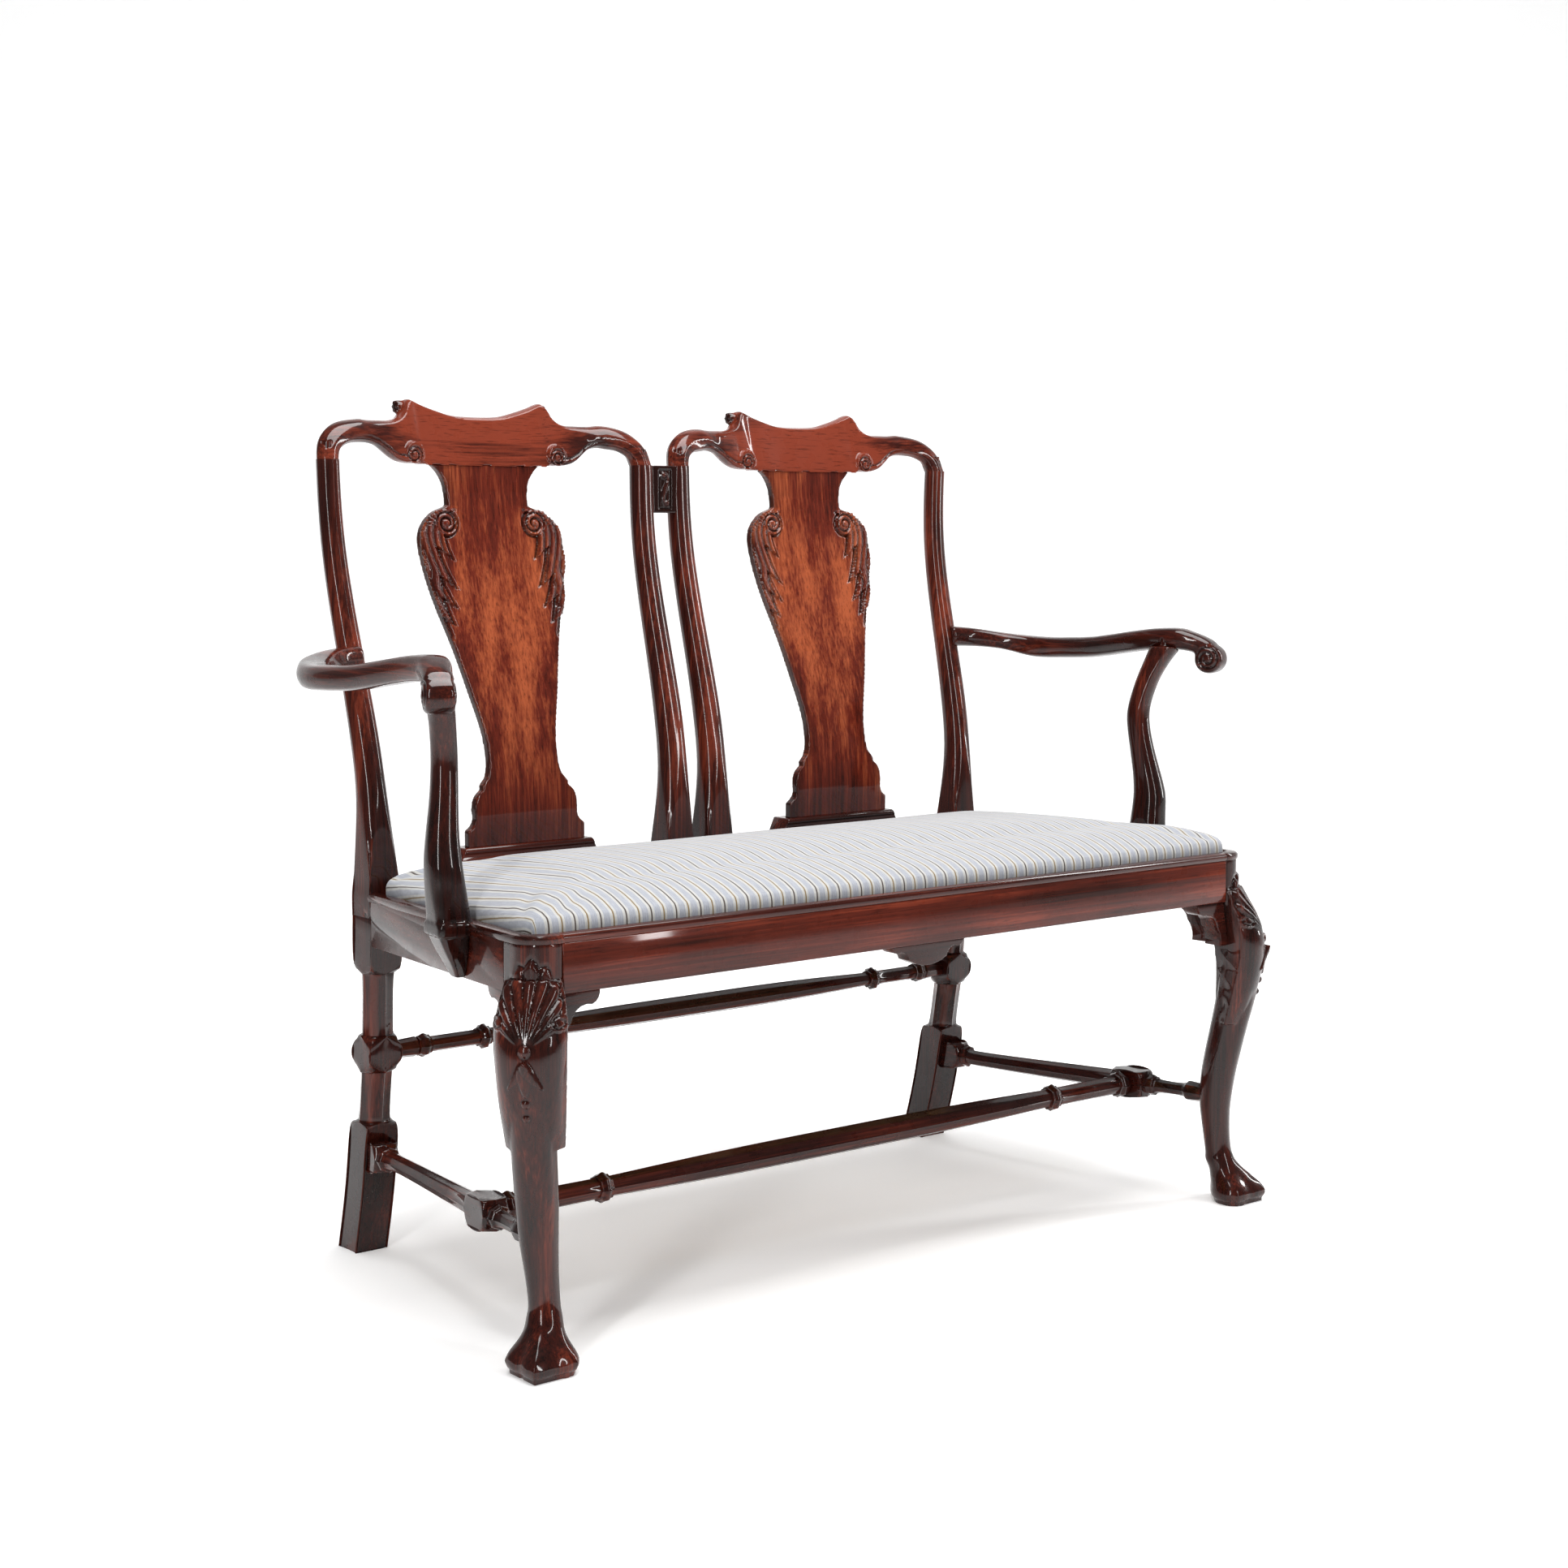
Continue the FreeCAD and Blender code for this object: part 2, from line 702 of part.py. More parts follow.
def splat_tongue():
    y = splat_y(splat_joint_z) + splat_thick * 0.3
    return box(chair_x - joint_half * 0.7, chair_x + joint_half * 0.7, y, y + splat_thick * 0.5,
               splat_joint_z - 3, splat_joint_z + 10)


def shoe():
    """Moulded block on the rear rail with a groove for the splat's foot."""
    top = plinth_z - 2.0
    y0 = splat_y(plinth_z) - 2.5
    bottom = rear_seat_top - 10
    front = [
        Vec(0, y0 + shoe_deep, bottom), Vec(0, y0 - 9.0, bottom), Vec(0, y0 - 9.0, top - 22.0),
        Vec(0, y0 - 6.5, top - 19.5), Vec(0, y0 - 4.5, top - 14.0), Vec(0, y0 - 4.0, top - 8.0),
        Vec(0, y0 - 5.5, top - 5.5), Vec(0, y0 - 5.0, top - 2.0), Vec(0, y0 - 2.5, top), Vec(0, y0 + shoe_deep, top),
    ]
    body = prism([point + ACROSS * (shoe_x - shoe_half) for point in front], ACROSS * (2 * shoe_half))
    for way in (1, -1):
        edge = shoe_x + way * shoe_half
        wedge = [Vec(edge, leg_y - 60, top + 1), Vec(edge - way * 8, leg_y - 60, top + 1),
                 Vec(edge, leg_y - 60, top - 16)]
        body = body.cut(prism(wedge, BACK * 160))
    return body


# Front legs

def leg_point(out, side, z):
    """A place on the right front leg: out along the diagonal, side across it."""
    return leg_middle + diagonal * out + sideways * side + UP * z


def knee_points(z, front, back, edge, half):
    """Rounded in front, two square edges at the sides, square at the back."""
    points = [leg_point(back, 0, z)]
    bulge = front - edge
    radius = (half * half + bulge * bulge) / (2 * bulge)
    sweep = math.asin(min(1.0, half / radius))
    if bulge > radius:
        sweep = math.pi - sweep
    for i in range(9):
        angle = sweep * (1 - i / 4)
        points.append(leg_point(front - radius + radius * math.cos(angle), radius * math.sin(angle), z))
    return points


def knee():
    """Cabriole knee; low down it narrows to two square flaps beside the round shin."""
    stations = [
        (stop_z, 39.0, 2.0, 13.0, 31.0),
        (stop_z + 45, 56.5, 3.5, 23.0, 34.5),
        (knee_z, 63.5, 0.5, 32.0, 37.5),
        (knee_z + 27, 59.0, -9.0, 31.0, 38.0),
        (rail_bottom - 8, 43.0, -24.0, 22.0, 35.0),
        (rail_bottom + 14, 30.5, -28.0, 15.0, 30.0),
    ]
    return skin([knee_points(*values) for values in between(stations, 2)])


def foot_points(z, out, turn, toe, hollow, lobe, heel):
    """Section of the lower leg: three lobes to the front and sides, rounded at the heel."""
    half = foot_sides // 2
    spokes = [toe, hollow + (toe - hollow) * 0.35, hollow, hollow + (lobe - hollow) * 0.35, lobe]
    for i in range(1, half - 3):
        share = i / (half - 4)
        spokes.append(heel + (lobe - heel) * (1 - ease(share)))
    points = []
    for i in range(foot_sides):
        angle = 2 * math.pi * i / foot_sides
        spoke = spokes[min(i, foot_sides - i)]
        points.append(leg_point(out + spoke * math.cos(angle), spoke * math.sin(angle) - turn, z))
    return points


def shin():
    """Round lower leg that runs up into the knee and swells below into the three-lobed foot."""
    reach = foot_reach
    turn = foot_turn
    foot = [
        (pad_high, reach, turn, foot_toe - 2, foot_hollow - 1, foot_lobe - 2, foot_heel - 1),
        (pad_high + 5, reach, turn, foot_toe, foot_hollow, foot_lobe, foot_heel),
        (pad_high + 11, reach - 0.5, turn, foot_toe - 1, foot_hollow - 1, foot_lobe - 1, foot_heel - 0.5),
        (pad_high + 18, reach - 2, turn, foot_toe - 5.5, foot_hollow - 4, foot_lobe - 5.5, foot_heel - 2),
        (pad_high + 26, reach - 5.5, turn * 0.97, foot_toe - 12, foot_hollow - 8, foot_lobe - 12, foot_heel - 4.5),
        (pad_high + 35, reach - 10, turn * 0.93, foot_toe - 18.5, foot_hollow - 11, foot_lobe - 17, foot_heel - 7.5),
    ]
    leg = [
        (pad_high + 45, 13.0, turn * 0.88, 18.8), (ankle_front_z, 9.7, turn * 0.8, ankle_radius),
        (98.0, 6.3, turn * 0.4, 17.6), (126.0, 5.5, turn * 0.1, 19.8), (stop_z - 60, 10.0, 0.0, 22.0),
        (stop_z, 22.3, 0.0, 23.4), (stop_z + 45, 31.0, 0.0, 25.5), (knee_z, 35.0, 0.0, 27.0),
    ]
    outlines = [foot_points(*values) for values in foot]
    for z, out, side, radius in between(leg, 2):
        outlines.append(foot_points(z, out, side, radius, radius, radius, radius))
    return skin(outlines)


def front_leg():
    """Right front leg with its corner post, cabriole knee, three-lobed foot and pad."""
    first, middle, last = front_corner()
    rear = front_y + post_deep
    inner = front_half - post_wide
    corners = [Vec(inner, front_y, 0)] + curve(first, middle, last)
    corners += [Vec(side_x(rear), rear, 0), Vec(inner, rear, 0)]
    post = prism([corner + UP * (rail_bottom - 4) for corner in corners], UP * (rail_height + 16))
    above = tilt(box(0, front_half + 50, front_y - 50, rear + 80, rail_top, rail_top + 60))
    post = post.cut(above)
    less = pad_inset
    pad = prism(foot_points(0, foot_reach, foot_turn, foot_toe - less, foot_hollow - less, foot_lobe - less,
                            foot_heel - less), UP * pad_high)
    rails = [front_rail(), tilt(side_strip(0, rail_thick, rear + 2, rear_y, rail_bottom, rail_top))]
    return post.fuse([knee(), shin(), pad]).cut(rails).removeSplitter()


def bracket_outline(at):
    """Scrolled ear under a rail. at(u, z) gives a point u along the rail and z below it."""
    reach = bracket_long
    low = bracket_tall
    points = [at(-34, -low), at(-34, 6)]
    points += curve(at(reach, 6), at(reach + 2, -6), at(reach - 7, -15))
    points += curve(at(reach - 7, -15), at(reach - 26, -19), at(reach - 33, -31))[1:]
    points += curve(at(reach - 33, -31), at(reach - 40, -low * 0.8), at(4, -low))[1:]
    return points


def front_bracket_blank():
    x = front_half - post_wide
    y = front_y + bracket_set_back

    def at(u, z):
        return Vec(x - u, y, rail_bottom + z)

    return prism(bracket_outline(at), BACK * bracket_thick)


def side_bracket_blank():
    start = front_y + post_deep
    inset = bracket_set_back

    def at(u, z):
        return Vec(side_x(start + u, inset), start + u, rail_bottom + z)

    inward = Vec(-math.cos(splay), -math.sin(splay), 0)
    return prism(bracket_outline(at), inward * bracket_thick)


def apron_drop():
    """Lobed drop glued under the middle of the front rail."""
    y = front_y + drop_set_back

    def at(x, z):
        return Vec(x, y, rail_bottom + z)

    inner = drop_half - 26
    scroll = curve(Vec(drop_half, 0, -2), Vec(drop_half - 6, 0, -8), Vec(drop_half - 14, 0, -7))
    scroll += curve(Vec(drop_half - 14, 0, -7), Vec(drop_half - 22, 0, -11), Vec(inner, 0, -18))[1:]
    middle = curve(Vec(inner, 0, -18), Vec(0, 0, -drop_tall), Vec(-inner, 0, -18))[1:-1]
    right = [(drop_half, 4)] + [(point.x, point.z) for point in scroll]
    lobe = [(point.x, point.z) for point in middle]
    left = [(-x, z) for x, z in reversed(right)]
    return prism([at(x, z) for x, z in right + lobe + left], BACK * drop_thick)


# Arms and their supports

def arm():
    """Right arm: out from the back post, round the bow and forward to the scroll."""
    root_y = back_y(arm_z + arm_rear_rise) - 11.0
    root_x = leg_x + 8.0
    bow = arm_half - root_x
    front_z = arm_z + arm_front_rise
    scroll_way = Vec(0.387, -0.922, 0)
    scroll = Vec(scroll_x, arm_front_y, scroll_z)
    over = scroll - scroll_way * 15 + UP * 19
    into = scroll + scroll_way * 4 + UP * 13
    stations = [
        (root_x, root_y, arm_z + arm_rear_rise, 28.0, arm_tall),
        (root_x + bow * 0.38, root_y - 11, arm_z + 11.5, 32.0, arm_tall - 3),
        (root_x + bow * 0.7, root_y - 36, arm_z + 6.5, arm_wide, arm_tall - 5),
        (root_x + bow * 0.92, root_y - 74, arm_z, arm_wide, arm_tall),
        (arm_half, root_y - 122, arm_z, arm_wide, arm_tall),
        (arm_half - 2, root_y - 191, arm_z + 4, arm_wide, arm_tall),
        (arm_half - 6, arm_front_y + 100, front_z - 4, arm_wide, arm_tall),
        (arm_half - 4, arm_front_y + 42, front_z, arm_wide, arm_tall),
        (over.x, over.y, over.z, scroll_wide, arm_tall - 3),
        (into.x, into.y, into.z, scroll_wide, arm_tall - 9),
    ]
    run = between(stations, 2)
    outlines = []
    for i in range(len(run)):
        x, y, z, wide, tall = run[i]
        before = run[max(i - 1, 0)]
        after = run[min(i + 1, len(run) - 1)]
        across = Vec(before[1] - after[1], after[0] - before[0], 0).normalize()
        outlines.append(outline_points(Vec(x, y, z), across, UP, wide, tall, tall * 0.36, 2))
    across = UP.cross(scroll_way).normalize()
    half = scroll_wide / 2
    radius = scroll_radius
    drum = barrel(scroll, across, [
        (-half, radius * 0.84), (3 - half, radius * 0.96), (-half * 0.4, radius),
        (half * 0.4, radius), (half - 3, radius * 0.96), (half, radius * 0.84),
    ])
    side = across * (half + 2)
    eye = rod(scroll - side, scroll + side, radius * 0.3)
    return skin(outlines).fuse([drum, eye]).removeSplitter()


def arm_support():
    """Right arm support: S-shaped post over a moulded band, with a lap below it on the side rail."""
    base = Vec(side_x(support_y) + support_out, support_y, support_seat_z())
    span = arm_z + arm_front_rise - 10 - base.z
    rail_way = Vec(-math.sin(splay), math.cos(splay), 0)
    rail_out = Vec(math.cos(splay), math.sin(splay), 0)
    lap = [
        (-50.0, -10.5, 0.0, 13.0, 17.0, 0.2), (-38.0, -8.0, 0.0, 18.0, 27.0, 0.2),
        (-22.0, -4.5, 0.0, 28.0, 36.0, 0.2), (-5.0, -1.5, 0.0, 37.0, 41.0, 0.2),
    ]
    band = [(-4.0, -1.0, 0.0, 42.0, 48.0, 0.16), (7.0, -1.0, 0.0, 42.0, 48.0, 0.16), (9.5, -0.5, 0.0, 40.0, 45.0, 0.2)]
    post = [
        (11.0, 0.0, 0.0, 38.5, 43.0, 0.26),
        (span * 0.16, 3.0, 0.0, 39.0, 41.0, 0.36), (span * 0.27, 5.5, 0.0, 37.0, 39.0, 0.4),
        (span * 0.38, 4.0, -4.0, 33.0, 34.0, 0.42), (span * 0.52, -0.5, -10.0, 29.0, 29.0, 0.42),
        (span * 0.67, -3.0, -13.5, 27.0, 27.5, 0.42), (span * 0.82, 2.0, -5.0, 26.5, 28.5, 0.42),
        (span * 0.92, 9.0, 5.0, 28.0, 33.0, 0.42), (span, 16.0, 15.0, 30.0, 41.0, 0.42),
    ]
    outlines = []
    for rise, out, forward, wide, deep, roundness in lap + band + between(post, 2):
        place = base + UP * rise + rail_out * out - rail_way * forward
        outlines.append(outline_points(place, rail_out, rail_way, wide, deep, wide * roundness))
    top = base + UP * span + rail_out * 16.0 - rail_way * 15.0
    return skin(outlines), rod(top - UP * 6, top + UP * 12, support_tenon)


def support_seat_z():
    """Height of the side rail's top at the arm support."""
    return rail_top - (support_y - front_y) * math.tan(math.radians(seat_angle))


# Stretchers

def ring(x, shaft, radius):
    """Ring between two small steps on a turned stretcher, between shafts of one radius."""
    step = shaft + ring_fillet
    edge = ring_half + ring_fillet
    return [
        (x - edge - 0.5, shaft), (x - edge, step), (x - ring_half, step), (x, radius, x + ring_half, step),
        (x + edge, step), (x + edge + 0.5, shaft),
    ]


def cross_stretcher():
    """Long turned stretcher between the two side stretchers."""
    end = stretcher_block_x() - 13.0
    steps = [(0, cross_swell), (cross_ring_x / 2, cross_swell - 0.6, cross_ring_x - 2 * ring_half, cross_shaft)]
    steps += ring(cross_ring_x, cross_shaft, ring_radius)
    steps += ring(end - 12.0, cross_shaft + 0.5, ring_radius)
    steps += [(end, cross_shaft + 0.5)]
    return stretcher_with_tenon(steps, Vec(0, cross_y, side_z(cross_y)))


def stretcher_with_tenon(steps, middle):
    """A turned stretcher along the settee, the same at both ends, and its right-hand tenon."""
    half = turned(steps)
    both = [(-along, wide, tall, roundness) for along, wide, tall, roundness in reversed(half[1:])] + half
    end = steps[-1][0]
    tenon = rod(middle + ACROSS * (end - 2), middle + ACROSS * (end + 14), stretcher_tenon)
    return spindle(middle, middle + ACROSS, both), tenon


def rear_stretcher():
    """Turned stretcher between the square blocks of the rear legs."""
    end = leg_x - foot_in * 0.3 - leg_size / 2
    steps = [(0, rear_swell), (rear_ring_in / 2, rear_swell - 0.6, rear_ring_in - 2 * ring_half, rear_shaft)]
    steps += ring(rear_ring_in, rear_shaft, ring_radius - 2)
    steps += ring(rear_ring_out, rear_shaft, ring_radius - 3)
    steps += [(rear_ring_out + 2 * ring_half, rear_shaft + 2.5), (end, rear_shaft + 1.0)]
    return stretcher_with_tenon(steps, Vec(0, leg_y + block_kick, block_z))


def side_rear_point():
    drop = (ankle_z - side_rear_z) / ankle_z
    kick = ankle_kick + (foot_kick - ankle_kick) * drop
    return Vec(leg_x - foot_in * 0.7, leg_y + kick, side_rear_z)


def side_front_point():
    return leg_point(5.5, 0, side_front_z)


def side_share(y):
    rear = side_rear_point()
    front = side_front_point()
    return (rear.y - y) / (rear.y - front.y)


def side_z(y):
    rear = side_rear_point()
    return rear.z + (side_front_point().z - rear.z) * side_share(y)


def stretcher_block_x():
    rear = side_rear_point()
    return rear.x + (side_front_point().x - rear.x) * side_share(cross_y)


def side_stretcher():
    """Side stretcher: square block at the rear leg, shaft, cut-cornered block and a turned neck."""
    rear = side_rear_point()
    front = side_front_point()
    long = (front - rear).Length
    middle = long * side_share(cross_y)
    start = leg_size * 0.4
    square = 0.04
    stations = [(start, 30.0, 32.0, square), (start + 24, 30.0, 32.0, square), (start + 31, 30.0, 32.0, full_round)]
    stations += turned([
        (start + 33, 12.5), (start + 38, 15.0, start + 44, 11.0), (start + 50, side_shaft),
        (middle - 26, side_shaft + 2.5),
    ])
    stations += [
        (middle - 25, 30.0, 33.0, full_round), (middle - 16, 30.0, 33.0, square),
        (middle + 16, 30.0, 33.0, square), (middle + 25, 30.0, 33.0, full_round),
    ]
    stations += turned([
        (middle + 26, 12.5), (middle + 34, 13.0, middle + 46, 8.5), (long - 46, 8.5), (long - 40, 12.5),
        (long - 16, 11.0),
    ])
    return spindle(rear, front, stations)


# Loose seat

def slip_outline(inset, height):
    """Outline of the loose seat, inset from its edge, at a height above the rail."""
    edge = lip_wide + seat_gap + inset
    y0 = front_y + edge
    y1 = rear_y - slip_rear_gap - inset
    z = rail_top + height
    corners = [
        Vec(-side_x(y0, edge), y0, z), Vec(side_x(y0, edge), y0, z),
        Vec(side_x(y1, edge), y1, z), Vec(-side_x(y1, edge), y1, z),
    ]
    return rounded_points(corners, [18.0, 18.0, 9.0, 9.0])


def seat_form(shrink):
    """Crowned form of the loose seat: upright edge, drawn-in shoulder, gentle dome."""
    steps = [(slip_thick + 2 * cover_thick, 0.0), (crown * 0.56, 4.0), (crown * 0.72, 13.0), (crown * 0.84, 32.0),
             (crown * 0.93, 72.0), (crown * 0.98, 125.0), (crown, 165.0)]
    outlines = [slip_outline(shrink, shrink)]
    for height, inset in steps:
        outlines.append(slip_outline(inset + shrink, height - shrink))
    return skin(outlines)


def slip_members():
    """Beech frame of the loose seat, resting on the rails through the folded hem of the cover."""
    edge = cover_thick + soft_gap
    low = rail_top + cover_thick
    high = rail_top + slip_thick
    board = prism(slip_outline(edge, cover_thick), UP * (slip_thick - cover_thick))
    y0 = front_y + lip_wide + seat_gap + edge + slip_wide
    y1 = rear_y - slip_rear_gap - edge - slip_wide
    wide = front_half + 50
    inner_edge = lip_wide + seat_gap + edge + slip_wide
    right = board.common(side_strip(-50.0, inner_edge, y0, y1, low, high))
    return {
        "slip_rail_front": tilt(board.common(box(-wide, wide, front_y, y0, low, high))),
        "slip_rail_rear": tilt(board.common(box(-wide, wide, y1, rear_y, low, high))),
        "slip_rail_centre": tilt(box(-slip_wide / 2, slip_wide / 2, y0, y1, low, high)),
        "slip_rail_right": tilt(right),
        "slip_rail_left": tilt(other_side(right)),
    }


def webbing():
    """Straps from front to back, with three long ones laid across them."""
    y0 = front_y + lip_wide + seat_gap + cover_thick + 14.0
    y1 = rear_y - slip_rear_gap - cover_thick - 14.0
    z = rail_top + slip_thick
    half = web_wide / 2
    straps = []
    for i in (-4, -3, -2, -1, 1, 2, 3, 4):
        straps.append(box(i * 96.0 - half, i * 96.0 + half, y0, y1, z, z + web_thick))
    for i in (1, 2, 3):
        y = y0 + (y1 - y0) * i / 4
        reach = side_x(y + half, lip_wide + seat_gap + 14.0)
        straps.append(box(-reach, reach, y - half, y + half, z + web_thick, z + 2 * web_thick))
    return tilt(Part.makeCompound(straps))


def hessian():
    low = slip_thick + 2 * web_thick
    return tilt(prism(slip_outline(cover_thick + 12.0, low), UP * hessian_thick))


def stuffing():
    low = rail_top + slip_thick + 2 * web_thick + hessian_thick
    wide = front_half + 50
    space = box(-wide, wide, front_y, rear_y, low, low + crown)
    return tilt(seat_form(cover_thick + soft_gap).common(space))


def seat_cover():
    """Cloth shell over the frame and stuffing, with its hem folded under the frame."""
    shell = seat_form(0.0).cut(seat_form(cover_thick))
    window = prism(slip_outline(hem, -1.0), UP * (slip_thick * 0.5))
    return tilt(shell.cut(window))


def cover_tacks():
    """Tacks through the hem into the underside of the frame."""
    inset = hem - tack_radius - 1.0
    y0 = front_y + lip_wide + seat_gap + inset
    y1 = rear_y - slip_rear_gap - inset
    tacks = []
    for i in (-6, -5, -4, -3, -2, -1, 1, 2, 3, 4, 5, 6):
        for y in (y0, y1):
            place = Vec(i * 70.0, y, rail_top)
            tacks.append(rod(place - UP * tack_high, place, tack_radius, 6))
    return tilt(Part.makeCompound(tacks))


# Assembly: seats each piece on its neighbours, cuts the mortises and writes the files

def build():
    parts = {}
    leg_r, leg_dowel = rear_leg()
    front_leg_r = front_leg()

    rail_front = front_rail()
    front_tenons = front_rail_tenons()
    side_r = side_rail_blank().cut(front_leg_r).cut(leg_r)
    side_front_tenon, side_rear_tenon = side_rail_tenons()
    rear_rail = rear_rail_blank()
    rear_rail = rear_rail.cut([leg_r, other_side(leg_r), side_r, other_side(side_r)])
    rear_tenon = rear_rail_tenon()

    support_r, support_peg = arm_support()
    arm_r = arm().cut(leg_r)
    support_r = support_r.cut(arm_r).cut(side_r)
    support_peg = support_peg.cut(support_r)
    lip_r = side_lip_blank().cut(support_r).cut(leg_r)

    # Screws through the side rail into the support, and pegs through the rear leg
    screws = []
    out = Vec(math.cos(splay), math.sin(splay), 0)
    for dy in (-9.0, 9.0):
        y = support_y + dy
        start = Vec(side_x(y, rail_thick), y, support_seat_z() - 18.0)
        shank = rod(start, start + out * (rail_thick + 9), screw_radius, 6)
        screws.append(shank.fuse(rod(start, start + out * 3, screw_head, 6)))
    pegs = []
    for dz in (-11.0, 9.0):
        y = rear_y + tenon_long * 0.5
        z = rear_seat_top - rail_height / 2 + dz
        pegs.append(rod(Vec(rear_half, y, z), Vec(rear_half - 26, y, z), peg_radius, 6))
    screw_group = Part.makeCompound(screws)
    peg_group = Part.makeCompound(pegs)

    shoe_r = shoe().cut(rear_rail)
    splat_r = splat()
    shoe_r = shoe_r.cut(splat_r)
    crest_r = crest()
    inner, inner_dowel = stile(inner_foot_x, inner_top_x, rail_top - 24, inner_extra, inner_bow)
    inner = inner.cut(rear_rail)
    inner_tenon = box(inner_foot_x - 8, inner_foot_x + 8, leg_y - 5, leg_y + 5, rear_seat_top - 26, rail_top + 10)
    tongue = splat_tongue()
    crest_r = crest_r.cut(leg_dowel).cut(inner_dowel).cut(tongue).cut(leg_r).cut(inner).cut(splat_r)
    rear_rail = rear_rail.cut(inner_tenon).cut(other_side(inner_tenon))
    splat_r = splat_r.fuse(tongue)

    side_s = side_stretcher().cut(leg_r).cut(front_leg_r)
    rear_s, rear_s_tenon = rear_stretcher()
    rear_s = rear_s.cut([leg_r, other_side(leg_r)])
    cross_s, cross_tenon = cross_stretcher()
    cross_s = cross_s.cut([side_s, other_side(side_s)])

    leg_r = leg_r.fuse(leg_dowel)
    leg_r = leg_r.cut([side_rear_tenon, rear_tenon, rear_s_tenon, peg_group])
    front_leg_r = front_leg_r.cut([side_front_tenon, front_tenons[0]])
    side_r = side_r.fuse([side_front_tenon, side_rear_tenon]).removeSplitter()
    side_r = side_r.cut([peg_group, screw_group])
    support_r = support_r.cut(screw_group)
    arm_r = arm_r.cut(support_peg)
    support_r = support_r.fuse(support_peg)
    side_s = side_s.cut(cross_tenon)

    bracket_front = front_bracket_blank().cut(front_leg_r).cut(rail_front).cut(side_r)
    bracket_side = side_bracket_blank().cut([front_leg_r, side_r, rail_front, bracket_front])
    front_block, rear_block = corner_block_blanks()
    front_block = front_block.cut([front_leg_r, side_r, rail_front])
    rear_block = rear_block.cut([leg_r, side_r, rear_rail])

    pairs = {
        "rear_leg_stile": leg_r, "inner_stile": inner.fuse([inner_dowel, inner_tenon]).removeSplitter(),
        "crest_rail": crest_r, "splat": splat_r, "splat_shoe": shoe_r, "front_leg": front_leg_r,
        "knee_bracket_front": bracket_front, "knee_bracket_side": bracket_side, "side_seat_rail": side_r,
        "seat_lip_side": lip_r, "arm": arm_r, "arm_support": support_r, "side_stretcher": side_s,
    }
    for name, shape in pairs.items():
        parts[name + "_right"] = shape
        parts[name + "_left"] = other_side(shape)

    stiles = [parts["inner_stile_right"], parts["inner_stile_left"]]
    link_middle = Vec(0, back_y(stile_top) - link_deep / 2, stile_top - link_tall / 2)
    link = prism(outline_points(link_middle, ACROSS, UP, 2 * inner_top_x, link_tall, link_round), BACK * link_deep)
    parts["stile_link_block"] = link.cut(stiles)
    parts["front_seat_rail"] = rail_front.fuse(front_tenons).removeSplitter()
    parts["rear_seat_rail"] = rear_rail.fuse([rear_tenon, other_side(rear_tenon)]).removeSplitter()
    parts["seat_lip_front"] = front_lip()
    parts["apron_drop"] = apron_drop().cut(rail_front)
    parts["seat_brace"] = seat_brace()
    parts["corner_blocks"] = Part.makeCompound(
        [front_block, rear_block, other_side(front_block), other_side(rear_block)])
    parts["rear_stretcher"] = rear_s.fuse([rear_s_tenon, other_side(rear_s_tenon)])
    parts["cross_stretcher"] = cross_s.fuse([cross_tenon, other_side(cross_tenon)])
    parts["joint_pegs"] = Part.makeCompound(pegs + [other_side(peg) for peg in pegs])
    parts["arm_screws"] = Part.makeCompound(screws + [other_side(screw) for screw in screws])
    parts.update(slip_members())
    parts["seat_webbing"] = webbing()
    parts["seat_hessian"] = hessian()
    parts["seat_stuffing"] = stuffing()
    parts["seat_cover"] = seat_cover()
    parts["cover_tacks"] = cover_tacks()
    return parts


os.makedirs("parts", exist_ok=True)
for part_name, part_shape in build().items():
    part_shape.exportStep("parts/" + part_name + ".step")
    print(part_name, len(part_shape.Solids), "solids", round(part_shape.Volume / 1000.0, 1), "cm3")
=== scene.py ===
# %% [markdown]
# # A mahogany settee with two chair backs
# The settee is a wide armchair frame with two vase-shaped splats, carved knees and a loose striped seat.
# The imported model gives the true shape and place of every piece, so this lesson only dresses it:
# it softens edges, cuts the carving, pads the seat and gives each surface its real finish.

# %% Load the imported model
import json
import math

import bmesh
import bpy
import numpy as np
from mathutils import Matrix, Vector


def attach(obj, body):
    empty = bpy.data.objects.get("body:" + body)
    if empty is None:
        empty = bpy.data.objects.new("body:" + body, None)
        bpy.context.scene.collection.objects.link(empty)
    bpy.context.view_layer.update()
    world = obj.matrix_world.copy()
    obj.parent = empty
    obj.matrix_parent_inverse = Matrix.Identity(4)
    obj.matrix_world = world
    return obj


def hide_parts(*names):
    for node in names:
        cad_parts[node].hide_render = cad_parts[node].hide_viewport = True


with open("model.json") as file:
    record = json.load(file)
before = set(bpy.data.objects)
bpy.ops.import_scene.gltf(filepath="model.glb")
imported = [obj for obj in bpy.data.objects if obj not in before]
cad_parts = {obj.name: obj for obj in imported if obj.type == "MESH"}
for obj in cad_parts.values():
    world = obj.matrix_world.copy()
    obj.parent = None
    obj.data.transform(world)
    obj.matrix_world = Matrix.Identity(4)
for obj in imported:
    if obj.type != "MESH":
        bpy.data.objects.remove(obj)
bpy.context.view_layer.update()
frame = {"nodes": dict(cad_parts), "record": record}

bodies = frame["record"]["behaviour"]["bodies"]
body_of_node = {node: body for body, nodes in bodies.items() for node in nodes}
way_of = {"left": -1, "right": 1}


# %% [markdown]
# Colours are written as sRGB hex values, as they are read from a paint card, and Blender's shaders work in
# linear light. One function turns one into the other. A second small function adds a shader node, sets its
# sockets and links it, so that each material below reads as a list of what the surface is made of.

